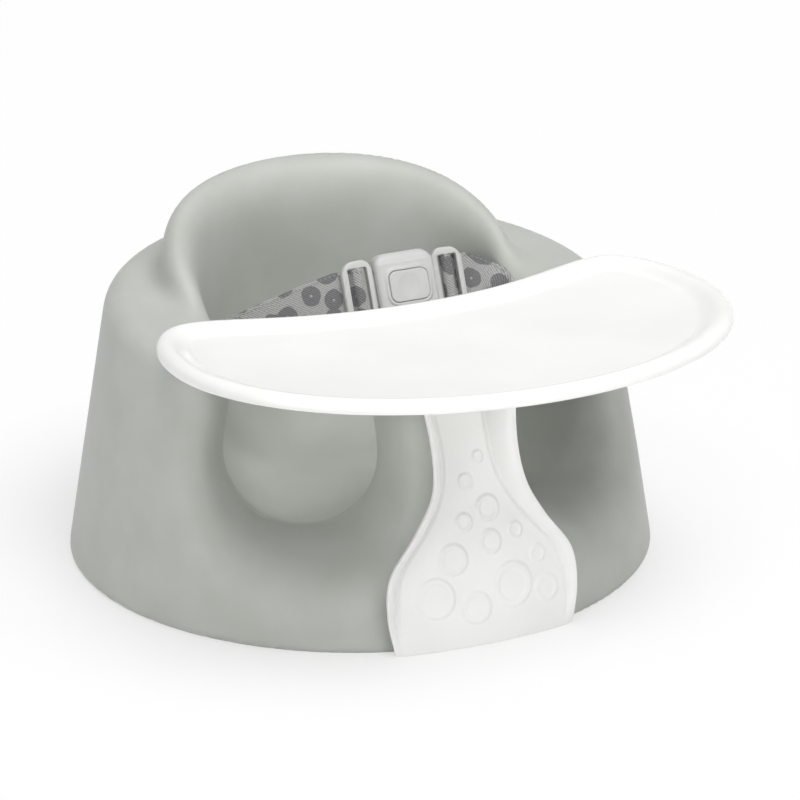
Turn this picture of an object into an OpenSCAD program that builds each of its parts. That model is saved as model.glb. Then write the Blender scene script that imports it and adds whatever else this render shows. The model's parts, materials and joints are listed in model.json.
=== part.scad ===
// Baby floor seat: a moulded foam tub with a webbing lap belt and a play tray that slides on at the front.
// Millimetres, +Z up. The origin is the middle of the base, on the floor. The child faces -Y.

/* [Foam tub] */
// Width of the base, side to side
base_w = 380; // [340:5:420]
// Depth of the base, front to back
base_d = 372; // [340:4:420]
// Inward lean of the outer wall, degrees
wall_lean = 9; // [6:0.5:12]
// Height of the shoulders at the middle
shoulder_h = 171.5; // [160:0.5:185]
// Rise of the shoulders towards the back, mm per mm
shoulder_rise = 0.053; // [0:0.005:0.12]
// Rounding where the wall turns onto the shoulders
shoulder_roll = 15; // [8:1:30]
// Half width of the back rest
back_half_w = 119.5; // [112:0.5:126]
// Half depth of the back rest
back_half_d = 107.5; // [100:0.5:114]
// How far the back rest's middle lies behind the base's
back_y = 26; // [20:1:32]
// Height of the back rim before it is rounded
rim_h = 235.5; // [225:0.5:250]
// Fall of the rim 100 mm in front of its highest line
rim_fall = 32; // [20:1:45]
// Rounding of the rim's outer edge
rim_roll = 34.5; // [24:0.5:42]

/* [Well and leg openings] */
// Half width of the well
well_half_w = 90; // [84:0.5:94]
// Half depth of the well
well_half_d = 70; // [64:0.5:76]
// How far the well's middle lies behind the base's
well_y = 24; // [18:1:30]
// Height of the seat floor
seat_h = 44; // [36:1:55]
// Rounding between the floor and the walls
well_roll = 70; // [40:2:90]
// Sideways place of a leg opening's throat
leg_x = 84.5; // [80:0.5:92]
// Forward place of a leg opening's throat
leg_y = -88; // [-94:0.5:-82]
// Height of a leg opening's centre line
leg_h = 104.5; // [98:0.5:112]
// Radius of a leg opening
leg_r = 48.5; // [44:0.5:52]
// Outward turn of a leg opening, degrees
leg_turn = 28.5; // [22:0.5:34]
// Flare of the leg openings
leg_flare = 43; // [30:1:50]
// How far each opening spreads towards the pommel at its mouth
leg_splay = 12; // [0:1:18]
// Extra roundness of the pommel's flanks
flank_roll = 24; // [0:1:30]
// Backward lean of the pommel's front, mm per mm
nose_lean = 0.45; // [0.4:0.01:0.5]
// Size of the grid that the foam's surface is drawn on
foam_grid = 11.5; // [10:0.5:16]

/* [Tray plate] */
// Half width of the tray
tray_half_w = 181; // [165:1:195]
// Front edge of the tray
tray_front_y = -284; // [-300:1:-265]
// Middle of the tray's rear edge
tray_rear_y = -82; // [-90:1:-76]
// Rear edge of the side lobes
lobe_y = -48.5; // [-58:0.5:-40]
// Where the tray is widest
tray_wide_y = -128; // [-140:1:-116]
// Height of the tray's edge above the shoulders, at the middle of the seat
tray_clear = 6.65; // [5:0.05:15]
// Tilt of the tray, front edge up, degrees
tray_tilt = 3.65; // [0:0.05:6]
// Thickness of the tray's wall
tray_wall = 2.6; // [2:0.1:4]
// Height of the rolled rim above the tray's floor
rim_crest = 6; // [4:0.5:9]

/* [Tray stem] */
// Wall of the stem
stem_wall = 3; // [2.4:0.1:4]
// Gap between the stem and the foam
stem_gap = 0.6; // [0.4:0.1:2]
// Width of the sloping flanges at the stem's edges
flange_w = 11; // [8:0.5:14]
// Width of the lip under the base
lip_w = 100; // [70:2:110]
// Depth of the lip under the base
lip_l = 36; // [20:1:45]
// Thickness of the lip
lip_t = 2.4; // [2:0.1:4]
// Width of the saddle over the pommel
saddle_w = 44; // [30:1:50]
// Length of the saddle over the pommel
saddle_l = 40; // [25:1:50]
// Diameter of the bosses under the tray
boss_d = 8; // [7:0.5:10]
// Height of the bosses under the tray
boss_h = 8; // [6:0.5:10]
// Shank of the tray screws
tray_screw_d = 3.2; // [2.5:0.1:4]

/* [Belt] */
// Width of the webbing
web_w = 31; // [25:1:34]
// Thickness of the webbing
web_t = 1.4; // [1:0.1:1.8]
// Forward place of the belt anchors
anchor_y = 22; // [16:1:28]
// Height of the belt anchors
anchor_h = 125; // [118:1:132]
// Sideways place of the buckle
buckle_x = 32; // [0:1:36]
// Place of the buckle, front to back
buckle_y = 1; // [-4:0.5:6]
// Height of the buckle above the anchors
buckle_rise = 42.6; // [36:0.1:48]
// Backward lean of the buckle, degrees from lying flat
buckle_lean = 66.5; // [55:0.5:80]
// Width of the buckle's housing
housing_w = 41; // [38:0.5:46]
// Height of the buckle's housing
housing_l = 46; // [42:0.5:56]
// Thickness of the buckle's housing
housing_t = 15; // [13:0.5:18]
// Wall of the housing's shells
shell_wall = 2; // [1.6:0.1:2.4]
// Width of a strap frame, outside the housing
frame_w = 22; // [20:0.5:28]
// Width of a strap frame's side rails
frame_rail = 3.5; // [3:0.1:4.5]
// Width of a strap frame's end rails
frame_end = 5.05; // [4:0.05:6]
// Thickness of a strap frame
frame_t = 5; // [4:0.25:6]
// Width of the release button
button_w = 27; // [22:0.5:29]
// Height of the release button
button_l = 20; // [16:0.5:22]
// How far the release button travels
button_travel = 2.2; // [1.5:0.1:2.5]

/* [Hidden] */
$fn = 48;
eps = 0.01;

// ---------- blends that the foam's shape is written with ----------
function mix_min(a, b, k) = let (h = max(k - abs(a - b), 0) / k) min(a, b) - h * h * k / 4;
function mix_max(a, b, k) = -mix_min(-a, -b, k);
function ease(a, b, t) = let (u = max(0, min(1, (t - a) / (b - a)))) u * u * (3 - 2 * u);
// Signed distance, near enough, to an ellipse with half axes a and b
function oval(x, y, a, b) =
    let (n = norm([x / a, y / b]), m = norm([x / a / a, y / b / b])) n * (n - 1) / max(m, 1e-6);

// ---------- the foam tub as one field: negative inside the foam ----------
base_r = base_w / 2;
front_r = base_d / 2;
wall_slope = tan(wall_lean);
back_draft = 0.037;
well_draft = 0.065;
rim_top_y = 138;
leg_reach = 80;
leg_fall = 0.355;
leg_pinch = 0.0068;

// The outer wall and the shoulders, rounder over the pommel
function drum(x, y, z) =
    let (
        front = ease(-30, -110, y),
        nose = front * (1 - ease(50, 110, abs(x))),
        wall = norm([x, y * base_r / front_r]) - (base_r - wall_slope * z),
        top = z - (shoulder_h + shoulder_rise * y - 4 * front)
    )
    mix_max(wall * 0.98, top, shoulder_roll + 45 * nose);

// The back rest, whose rim falls towards the front
function back_rest(x, y, z) =
    let (
        draft = back_draft * (z - 160),
        wall = oval(x, y - back_y, back_half_w - draft, back_half_d - draft),
        run = max(rim_top_y - y, 0) / 100,
        slope = 1.25 * rim_fall * pow(min(run, 1.2), 0.25) / 100,
        top = (z - (rim_h - rim_fall * pow(run, 1.25) + 0.0007 * x * x)) / norm([1, slope])
    )
    mix_max(wall, top, rim_roll);

// The well that the child sits in
function well(x, y, z) =
    let (
        draft = well_draft * (z - 100),
        wall = oval(x, y - well_y, well_half_w + draft, well_half_d + draft)
    )
    mix_max(wall, seat_h - z, well_roll);

// One leg opening: a channel with a round bottom that runs out and a little up
function leg_way(x, y, z) =
    let (
        out = [sin(leg_turn), -cos(leg_turn)],
        p = [abs(x) - leg_x, y - leg_y],
        u = p * out,
        v = p[1] * out[0] - p[0] * out[1],
        side = max(v, 0) + min(v + leg_splay * ease(-30, 40, u), 0),
        w = z - leg_h - leg_fall * min(u, 0),
        above = max(w, 0),
        pinch = leg_pinch * above * above / (1 + above * above / 1500)
    )
    mix_max(norm([side, min(w, 0)]) - leg_r + pinch, -u - leg_reach, 30);

// The front of the pommel leans back behind the stem
function nose_plane(y, z) = (nose_lean * z - y - front_r - 18) / norm([1, nose_lean]);

function foam(x, y, z) =
    let (
        outside = mix_min(drum(x, y, z), back_rest(x, y, z), 11),
        hollow = mix_min(well(x, y, z), leg_way(x, y, z), 50),
        flank = ease(5, 45, abs(x)) * ease(120, 75, abs(x)) * ease(-60, -110, y) * ease(15, 75, z),
        roll = 26 + (leg_flare - 26) * ease(0, -70, y) + flank_roll * flank
    )
    mix_max(mix_max(outside, -hollow, roll), nose_plane(y, z), 20);

function foam_slope(p) =
    let (d = 0.5, f = foam(p[0], p[1], p[2]))
    [foam(p[0] + d, p[1], p[2]) - f, foam(p[0], p[1] + d, p[2]) - f, foam(p[0], p[1], p[2] + d) - f] / d;
// One step of a point onto the surface
function on_foam(p) =
    let (g = foam_slope(p), f = foam(p[0], p[1], p[2])) p - g * f / max(g * g, 0.2);

// The first foam met between two values of one coordinate, found by halving
function halve_y(a, b, z, n) =
    n == 0 ? b : let (m = (a + b) / 2) foam(0, m, z) > 0 ? halve_y(m, b, z, n - 1) : halve_y(a, m, z, n - 1);
function halve_x(a, b, y, z, n) =
    n == 0
        ? b
        : let (m = (a + b) / 2) foam(m, y, z) > 0 ? halve_x(m, b, y, z, n - 1) : halve_x(a, m, y, z, n - 1);
function halve_z(a, b, y, n) =
    n == 0 ? a : let (m = (a + b) / 2) foam(0, y, m) > 0 ? halve_z(a, m, y, n - 1) : halve_z(m, b, y, n - 1);
function nose_y(z) = halve_y(-front_r - 20, -70, z, 14);
function wall_x(y, z) = halve_x(20, 140, y, z, 14);
function pommel_z(y) = halve_z(120, 185, y, 14);

// ---------- the field as a closed surface: one point per mixed cell, moved onto the foam ----------
half_cells = ceil((max(base_r, front_r) + foam_grid) / foam_grid);
span = half_cells * foam_grid;
low_z = -2.5 * foam_grid;
cells = 2 * half_cells;
layers = ceil((rim_h + foam_grid - low_z) / foam_grid);
function grid_x(i) = -span + i * foam_grid;
function grid_z(k) = low_z + k * foam_grid;
function clipped(x, y, z) = max(foam(x, y, z), -foam_grid - z);

module foam_surface() {
    val = [
        for (i = [0 : cells]) [
            for (j = [0 : cells]) [for (k = [0 : layers]) clipped(grid_x(i), grid_x(j), grid_z(k))]
        ]
    ];
    full = [
        for (i = [0 : cells - 1], j = [0 : cells - 1], k = [0 : layers - 1])
            (val[i][j][k] < 0 ? 1 : 0) + (val[i + 1][j][k] < 0 ? 1 : 0)
            + (val[i][j + 1][k] < 0 ? 1 : 0) + (val[i + 1][j + 1][k] < 0 ? 1 : 0)
            + (val[i][j][k + 1] < 0 ? 1 : 0) + (val[i + 1][j][k + 1] < 0 ? 1 : 0)
            + (val[i][j + 1][k + 1] < 0 ? 1 : 0) + (val[i + 1][j + 1][k + 1] < 0 ? 1 : 0)
    ];
    number = [for (n = 0, s = 0; n < len(full); s = s + (full[n] > 0 && full[n] < 8 ? 1 : 0), n = n + 1) s];
    function cell(i, j, k) = number[(i * cells + j) * layers + k];
    function cross(a, b, va, vb) = a + (b - a) * va / (va - vb);
    function crossings(i, j, k) = [
        for (e = [0 : 3])
            let (s = e % 2, t = floor(e / 2))
            each [
                if ((val[i][j + s][k + t] < 0) != (val[i + 1][j + s][k + t] < 0))
                    [cross(i, i + 1, val[i][j + s][k + t], val[i + 1][j + s][k + t]), j + s, k + t],
                if ((val[i + s][j][k + t] < 0) != (val[i + s][j + 1][k + t] < 0))
                    [i + s, cross(j, j + 1, val[i + s][j][k + t], val[i + s][j + 1][k + t]), k + t],
                if ((val[i + s][j + t][k] < 0) != (val[i + s][j + t][k + 1] < 0))
                    [i + s, j + t, cross(k, k + 1, val[i + s][j + t][k], val[i + s][j + t][k + 1])]
            ]
    ];
    function middle(list) = [for (c = [0 : 2]) [for (p = list) p[c]] * [for (p = list) 1]] / len(list);
    // A point stays in its own cell, so that no two meet and no face folds over
    function kept(v, low) = max(low + 0.03 * foam_grid, min(low + 0.97 * foam_grid, v));
    function net_point(i, j, k) =
        let (
            m = middle(crossings(i, j, k)),
            p = [grid_x(m[0]), grid_x(m[1]), grid_z(m[2])],
            q = p[2] < 0 ? p : on_foam(on_foam(p))
        )
        [kept(q[0], grid_x(i)), kept(q[1], grid_x(j)), kept(q[2], grid_z(k))];
    points = [
        for (i = [0 : cells - 1], j = [0 : cells - 1], k = [0 : layers - 1])
            let (n = full[(i * cells + j) * layers + k])
            if (n > 0 && n < 8) net_point(i, j, k)
    ];
    function halves(q, flip) =
        let (
            r = flip ? q : [q[3], q[2], q[1], q[0]],
            near = norm(points[r[0]] - points[r[2]]) <= norm(points[r[1]] - points[r[3]])
        )
        near ? [[r[0], r[1], r[2]], [r[0], r[2], r[3]]] : [[r[1], r[2], r[3]], [r[1], r[3], r[0]]];
    faces = [
        for (i = [1 : cells - 1], j = [1 : cells - 1], k = [1 : layers - 1])
            let (
                here = val[i][j][k] < 0,
                c = cell(i, j, k),
                c_x = cell(i - 1, j, k),
                c_y = cell(i, j - 1, k),
                c_z = cell(i, j, k - 1)
            )
            each [
                if (here != (val[i + 1][j][k] < 0)) each halves([cell(i, j - 1, k - 1), c_z, c, c_y], !here),
                if (here != (val[i][j + 1][k] < 0)) each halves([cell(i - 1, j, k - 1), c_x, c, c_z], !here),
                if (here != (val[i][j][k + 1] < 0)) each halves([cell(i - 1, j - 1, k), c_y, c, c_x], !here)
            ]
    ];
    polyhedron(points, faces);
}

// ---------- small helpers ----------
function unit(v) = v / norm(v);
// A smooth curve through `list` at u, which counts its entries
function through(list, u) =
    let (
        n = len(list) - 1,
        i = min(floor(u), n - 1),
        f = u - i,
        a = list[max(i - 1, 0)],
        b = list[i],
        c = list[i + 1],
        d = list[min(i + 2, n)]
    )
    b + f * (c - a) / 2
    + f * f * (a - 5 * b / 2 + 2 * c - d / 2)
    + f * f * f * (b * 3 / 2 - a / 2 - c * 3 / 2 + d / 2);
function curve(list, steps) = [for (k = [0 : steps * (len(list) - 1)]) through(list, k / steps)];

// A closed skin over rings of equally many points, each ring anticlockwise from its own start
module skin(rings) {
    n = len(rings[0]);
    last = len(rings) - 1;
    sides = [
        for (r = [0 : last - 1], i = [0 : n - 1])
            let (a = r * n + i, b = r * n + (i + 1) % n)
            each [[a, a + n, b + n], [a, b + n, b]]
    ];
    // Each end is closed by a strip that runs between the ring's first half and its second
    strip = [for (i = [0 : n / 2 - 2]) each [[i, i + 1, n - 2 - i], [i, n - 2 - i, n - 1 - i]]];
    top = [for (f = strip) [f[0] + last * n, f[2] + last * n, f[1] + last * n]];
    polyhedron([for (r = rings) each r], concat(strip, sides, top));
}

// A flat ribbon along `path`, whose entries are [place, direction the face looks]
module ribbon(path, w, t) {
    n = len(path) - 1;
    skin([
        for (i = [0 : n])
            let (
                along = unit(path[min(i + 1, n)][0] - path[max(i - 1, 0)][0]),
                side = unit(cross(path[i][1], along)) * w / 2,
                face = unit(cross(along, side)) * t / 2,
                c = path[i][0]
            )
            [c - side - face, c + side - face, c + side + face, c - side + face]
    ]);
}

// A round tube of `sides` sides along `path`
module tube(path, r, sides) {
    n = len(path) - 1;
    skin([
        for (i = [0 : n])
            let (
                along = unit(path[min(i + 1, n)] - path[max(i - 1, 0)]),
                a = unit(cross(along, [0, 0, 1])),
                b = cross(along, a)
            )
            [for (k = [0 : sides - 1]) path[i] + r * (a * cos(360 * k / sides) - b * sin(360 * k / sides))]
    ]);
}

module rounded(w, l, r, h) {
    linear_extrude(h) {
        square([w - 2 * r, l], center = true);
        square([w, l - 2 * r], center = true);
        for (x = [-1, 1], y = [-1, 1]) translate([x * (w / 2 - r), y * (l / 2 - r)]) circle(r);
    }
}

// ---------- belt anchors: bush in the foam, webbing, washer, screw ----------
web_off = 2.6;
bush_d = 12;
bush_l = 20;
bush_bore_d = 4.5;
bush_bore_l = 16;
anchor_screw_d = 4.4;
anchor_screw_l = 14;
anchor_head_d = 9.5;
anchor_head_h = 2.6;
washer_d = 20;
washer_t = 1.5;
touch = 0.05;

// A place `off` from the well's wall on side s, and the direction towards the foam there
function on_wall(s, y, z, off) =
    let (x = wall_x(y, z), g = unit(foam_slope([x, y, z])), p = [x, y, z] + g * off)
    [[s * p[0], p[1], p[2]], [-s * g[0], -g[1], -g[2]]];
wall_dir = on_wall(1, anchor_y, anchor_h, 0)[1];

// Puts its children at an anchor, their +Z pointing from the foam into the well
module at_anchor(s) {
    at = on_wall(s, anchor_y, anchor_h, 0)[0];
    translate(at)
        rotate([0, acos(-wall_dir[2]), atan2(-wall_dir[1], -s * wall_dir[0])])
            children();
}

module anchor_bushes() {
    color("#8b8f8d")
    for (s = [-1, 1]) at_anchor(s) difference() {
        translate([0, 0, -bush_l]) cylinder(d = bush_d, h = bush_l + web_off - web_t / 2 - touch);
        translate([0, 0, -bush_bore_l]) cylinder(d = bush_bore_d, h = bush_bore_l + web_off);
    }
}

module anchor_washers() {
    color("#a9adab")
    for (s = [-1, 1]) at_anchor(s) translate([0, 0, web_off + web_t / 2 + touch]) difference() {
        cylinder(d = washer_d, h = washer_t);
        translate([0, 0, -1]) cylinder(d = bush_bore_d + 0.3, h = washer_t + 2);
    }
}

module anchor_screws() {
    color("#c2c5c6")
    for (s = [-1, 1]) at_anchor(s) translate([0, 0, web_off + web_t / 2 + 2 * touch + washer_t]) {
        cylinder(d = anchor_head_d, h = anchor_head_h);
        translate([0, 0, -anchor_screw_l]) cylinder(d = anchor_screw_d, h = anchor_screw_l + eps);
    }
}

// ---------- the foam tub ----------
recess_h = lip_t + 0.8;
recess_side = 4;
lip_h = 0.4;

module seat_body() {
    color("#b4bbb2")
    difference() {
        foam_surface();
        translate([-span, -span, 2 * low_z]) cube([2 * span, 2 * span, -2 * low_z]);
        translate([-lip_w / 2 - recess_side, -span, -1])
            cube([lip_w + 2 * recess_side, span - front_r + lip_l + recess_side, recess_h + 1]);
        for (s = [-1, 1]) at_anchor(s)
            translate([0, 0, -bush_l]) cylinder(d = bush_d + 2 * touch, h = bush_l + 6);
    }
}

// ---------- webbing ----------
buckle_at = [buckle_x, buckle_y, anchor_h + buckle_rise];
function at_buckle(x, y, z) =
    let (c = cos(buckle_lean), s = sin(buckle_lean))
    buckle_at + [x, c * y - s * z, s * y + c * z];
buckle_face = [0, -sin(buckle_lean), cos(buckle_lean)];
frame_out = housing_w / 2 + frame_w;
bar_x = housing_w / 2 + frame_w / 2 - 0.3;
bar_d = 4.5;
loop_r = bar_d / 2 + web_t / 2 + 0.15;
web_under = frame_t / 2 + web_t / 2 + 0.2;
tail_under = web_under + web_t + 0.9;

// The webbing lies straight and flat where it is screwed down
belt_rise = [0, -0.42, 0.9];
function anchor_line(s, d) =
    let (a = on_wall(s, anchor_y, anchor_h, web_off), t = belt_rise - a[1] * (belt_rise * a[1]))
    [a[0] + unit(t) * d, a[1]];

function between(a, b, f) = a * (1 - f) + b * f;

// From the anchor up the wall, through the open air, and under the frame's outer bar
function strap_run(s) = let (end = at_buckle(s * (frame_out + 3), 0, -web_under - 0.4)) curve(
    concat(
        [for (d = [-16, 0, 11, 17]) anchor_line(s, d)],
        s > 0
            ? let (off = on_wall(s, anchor_y - 17.5, anchor_h + 31.5, web_off + 1)) [
                on_wall(s, anchor_y - 13, anchor_h + 25, web_off),
                off,
                [between(off[0], end, 0.5) + [2.3, -0.7, 1.9], [-0.2, -0.88, 0.42]]
            ]
            : let (off = on_wall(s, anchor_y - 11.5, anchor_h + 18, web_off + 5.4)[0]) concat(
                [[off, [0.6, -0.75, 0.25]]],
                [
                    for (f = [0.14, 0.4, 0.66])
                        let (belly = [0, -4.2, 2.6] * pow(4 * f * (1 - f), 0.7))
                        [between(off, end, f) + belly, [0.18 - 0.4 * f, -0.92, 0.36]]
                ]
            ),
        [[end, buckle_face]]
    ),
    4
);
// Up round the frame's middle bar, out again underneath, and on as a loose tail of `tail` samples
function strap_loop(s, tail) = let (run = strap_run(s), n = len(run)) concat(
    [
        for (p = concat(
            [[frame_out - 4, -web_under, 0, 1], [bar_x + loop_r + 2.3, -web_under + 1, 0.5, 0.9]],
            [for (a = [0 : 22.5 : 225]) [bar_x + loop_r * cos(a), loop_r * sin(a), cos(a), sin(a)]],
            [
                [bar_x - 1.3, -loop_r - 1.3, -0.7, -0.7],
                [bar_x + 3, -tail_under, 0, -1],
                [frame_out - 2, -tail_under - 0.2, 0, -1]
            ]
        ))
            [
                at_buckle(s * p[0], 0, p[1]),
                [s * p[2], -sin(buckle_lean) * p[3], cos(buckle_lean) * p[3]]
            ]
    ],
    [for (i = [1 : tail]) [run[n - i][0] - run[n - i][1] * (web_t + 1 + i / 6), -run[n - i][1]]]
);

module strap(s, tail) {
    difference() {
        ribbon(concat(strap_run(s), strap_loop(s, tail)), web_w, web_t);
        at_anchor(s) cylinder(d = bush_bore_d + 1, h = 2 * web_off);
    }
}
module strap_left() { color("#a6a7a6") strap(-1, 5); }
module strap_right() { color("#a6a7a6") strap(1, 3); }

// ---------- buckle: drawn lying flat about its middle, +Z towards its face ----------
module on_buckle() { translate(buckle_at) rotate([buckle_lean, 0, 0]) children(); }

housing_r = 8;
frame_r = 9;
web_play = 0.9;
blade_t = 3;
blade_w = 21;
blade_end = 5.3;
blade_play = 0.3;
bezel_w = button_w + 5;
bezel_l = button_l + 5.5;
bezel_h = 1.2;
button_r = 5;
button_play = 0.3;
button_proud = 0.5;
flange_t = 1.2;
flange_over = 1.8;
spring_d = 6;
spring_wire_d = 0.7;
spring_turns = 5;
latch_t = 1.3;
latch_left = 13;
latch_right = 8;
leg_w = 4;
leg_l = 3;
leg_at = button_l / 2 - 2.5;
latch_l = 2 * leg_at + leg_l;

shell_in = housing_t / 2 - shell_wall;
flange_top = shell_in - 0.1;
button_top = housing_t / 2 + bezel_h + button_proud;
spring_low = -shell_in + touch;
spring_top = flange_top - flange_t - touch;
latch_low = -shell_in + button_travel + 0.1;
capture_x = 11;
capture_d = 4;

module blade_ways(z0, h) {
    for (s = [-1, 1])
        translate([s * housing_w / 2, 0, z0 + h / 2])
            cube([4 * shell_wall, blade_w + 2 * blade_play, h], center = true);
}

// The hollow inside the housing
module cavity(h) {
    rounded(housing_w - 2 * shell_wall, housing_l - 2 * shell_wall, housing_r - shell_wall, h);
}

module buckle_back_shell() {
    color("#cfcfcc") on_buckle() {
        difference() {
            translate([0, 0, -housing_t / 2]) rounded(housing_w, housing_l, housing_r, housing_t / 2);
            translate([0, 0, -shell_in]) cavity(housing_t);
            blade_ways(-blade_t / 2 - blade_play, housing_t);
        }
        // Peg that holds the right frame's blade
        translate([capture_x, 0, -shell_in - eps]) cylinder(d = capture_d, h = shell_in + blade_t / 2 - 0.2);
    }
}

module buckle_front_shell() {
    color("#d6d6d3") on_buckle() difference() {
        union() {
            rounded(housing_w, housing_l, housing_r, housing_t / 2);
            rounded(bezel_w, bezel_l, housing_r, housing_t / 2 + bezel_h);
        }
        translate([0, 0, -1]) cavity(shell_in + 1);
        rounded(button_w + 2 * button_play, button_l + 2 * button_play, button_r + button_play, housing_t);
        blade_ways(-housing_t, housing_t + blade_t / 2 + blade_play);
    }
}

module release_button() {
    color("#d9d9d6") on_buckle() difference() {
        union() {
            translate([0, 0, flange_top - flange_t]) {
                rounded(button_w, button_l, button_r, button_top - flange_top + flange_t);
                rounded(button_w + 2 * flange_over, button_l + 2 * flange_over, button_r, flange_t);
            }
            for (s = [-1, 1])
                translate([-leg_w / 2, s * leg_at - leg_l / 2, latch_low + latch_t])
                    cube([leg_w, leg_l, flange_top - flange_t - latch_low - latch_t + eps]);
        }
        // A shallow thumb dish
        translate([0, 0, button_top + 44.4]) sphere(r = 45);
    }
}

module latch_plate() {
    color("#e8e8e4") on_buckle() difference() {
        translate([-latch_left, -latch_l / 2, latch_low]) cube([latch_left + latch_right, latch_l, latch_t]);
        translate([0, 0, latch_low - 1]) cylinder(d = spring_d + 2, h = latch_t + 2);
    }
}

module button_spring() {
    turn_steps = 10;
    rise = spring_top - spring_low - spring_wire_d;
    path = [
        for (k = [0 : spring_turns * turn_steps])
            let (a = 360 * k / turn_steps)
            [spring_d / 2 * cos(a), spring_d / 2 * sin(a),
                spring_low + spring_wire_d / 2 + rise * k / spring_turns / turn_steps]
    ];
    color("#b9bcc0") on_buckle() tube(path, spring_wire_d / 2, 6);
}

// A strap frame on side s: the outer frame, the bar that the webbing goes round, and the blade
module strap_frame(s) {
    mid = housing_w / 2 + frame_w / 2;
    window_w = frame_w - 2 * frame_rail;
    window_l = web_w + web_play;
    frame_l = window_l + 2 * frame_end;
    on_buckle() mirror([s < 0 ? 1 : 0, 0, 0]) difference() {
        union() {
            difference() {
                translate([mid + 0.15, 0, -frame_t / 2]) rounded(frame_w - 0.3, frame_l, frame_r, frame_t);
                translate([mid, 0, -frame_t]) rounded(window_w, window_l, 1.5, 2 * frame_t);
            }
            translate([bar_x, window_l / 2 + 1, 0]) rotate([90, 0, 0]) cylinder(d = bar_d, h = window_l + 2);
            translate([blade_end, -blade_w / 2, -blade_t / 2])
                cube([housing_w / 2 + frame_rail - blade_end, blade_w, blade_t]);
        }
        // The catch hole, or the hole for the housing's peg
        translate([capture_x, 0, -blade_t]) cylinder(d = capture_d + 0.4, h = 2 * blade_t);
    }
}
module tongue_left() { color("#cdcdca") strap_frame(-1); }
module strap_frame_right() { color("#cdcdca") strap_frame(1); }

// ---------- tray: drawn level, with its edge at height 0, then tilted ----------
tray_h = shoulder_h + tray_clear;
module on_tray() { translate([0, 0, tray_h]) rotate([-tray_tilt, 0, 0]) children(); }

function bezier(a, b, c, d, t) =
    a * pow(1 - t, 3) + 3 * b * t * pow(1 - t, 2) + 3 * c * t * t * (1 - t) + d * pow(t, 3);
lobe_x = tray_half_w - 39;
rear_steps = 8;
tray_rear = concat(
    [
        for (k = [0 : rear_steps - 1])
            bezier(
                [tray_half_w, tray_wide_y], [tray_half_w, tray_wide_y + 40],
                [lobe_x + 25, lobe_y], [lobe_x, lobe_y], k / rear_steps
            )
    ],
    [
        for (k = [0 : rear_steps])
            bezier(
                [lobe_x, lobe_y], [lobe_x - 30, lobe_y],
                [80, tray_rear_y], [0, tray_rear_y], k / (rear_steps + 1)
            )
    ]
);
rear_n = len(tray_rear);
// From the widest place on the right round the rear to the left, then back along the front,
// so that the two halves lie opposite each other
tray_outline = concat(
    tray_rear,
    [[0, tray_rear_y]],
    [for (i = [rear_n - 1 : -1 : 0]) [-tray_rear[i][0], tray_rear[i][1]]],
    [
        for (k = [1 : 2 * rear_n - 1])
            let (a = 90 * k / rear_n)
            [-tray_half_w * cos(a), tray_wide_y - (tray_wide_y - tray_front_y) * sin(a)]
    ]
);
function tray_ring(inset, h) =
    let (n = len(tray_outline))
    [
        for (i = [0 : n - 1])
            let (t = unit(tray_outline[(i + 1) % n] - tray_outline[(i + n - 1) % n]))
            [tray_outline[i][0] - t[1] * inset, tray_outline[i][1] + t[0] * inset, h]
    ];

floor_h = 1;
rim_w = 23;
crest_in = 6.5;
edge_drop = 2;
under_h = floor_h - tray_wall;
// Heights over the inset from the edge: a quarter oval up to the crest, then an easy slope to the floor
function rim_up(inset, low, high, start) =
    inset < crest_in
        ? low + (high - low) * sqrt(max(0, 1 - pow((crest_in - inset) / (crest_in - start), 2)))
        : low + (high - low) * ease(rim_w - start, crest_in, inset);

module tray_plate() {
    skin(concat(
        [for (d = [rim_w - tray_wall, 17.5, 14.5, 11.5, 8.5, crest_in, 4.2, 2.9])
            tray_ring(d, rim_up(d, under_h, under_h + rim_crest, tray_wall - 0.4))],
        [tray_ring(tray_wall - 0.4, under_h), tray_ring(tray_wall - 0.4, floor_h - edge_drop)],
        [tray_ring(0, floor_h - edge_drop)],
        [for (d = [0, 0.5, 1.9, 4, crest_in, 9.5, 13, 16.5, 20, rim_w])
            tray_ring(d, rim_up(d, floor_h, floor_h + rim_crest, 0))]
    ));
}

// The panel lies against the pommel, and goes on straight above its shoulder
stem_turn_z = 130;
function panel_y(z) =
    nose_y(min(z, stem_turn_z)) + nose_lean * max(0, z - stem_turn_z) - stem_gap - stem_wall;

// Where the stem's head meets the tray, in the tray's own level frame
head_y = panel_y(tray_h) - 12;
head_w = 78;
head_l = 34;
head_t = 3;
socket_wall = 2.4;
socket_play = 0.3;
boss_x = 22;
boss_back = 6;
boss_gap = 11;
screw_head_d = 7;
screw_head_h = 2.4;
pilot_l = 8;
head_top = under_h - boss_h;
module at_bosses() {
    for (x = [-1, 1], y = [-1, 1])
        translate([x * boss_x, head_y - boss_back + y * boss_gap / 2, 0]) children();
}

// The head's outline, larger by `room` on every side
module around_head(room, r, h) { rounded(head_w + 2 * room, head_l + 2 * room, r, h); }

module tray_top() {
    color("#f7f7f5") on_tray() difference() {
        union() {
            tray_plate();
            at_bosses() translate([0, 0, head_top]) cylinder(d = boss_d, h = boss_h + 0.5);
            translate([0, head_y, head_top - head_t / 2]) difference() {
                around_head(socket_play + socket_wall, 6, boss_h + head_t / 2 + 0.5);
                translate([0, 0, -1]) around_head(socket_play, 4, boss_h + head_t / 2 + 3);
            }
        }
        at_bosses() translate([0, 0, head_top - 1]) cylinder(d = tray_screw_d + 2 * touch, h = pilot_l + 1);
    }
}

module tray_screws() {
    color("#b9bcc0") on_tray() at_bosses() {
        translate([0, 0, head_top - head_t - touch - screw_head_h])
            cylinder(d = screw_head_d, h = screw_head_h);
        translate([0, 0, head_top - head_t - 1]) cylinder(d = tray_screw_d, h = head_t + pilot_l);
    }
}

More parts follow.
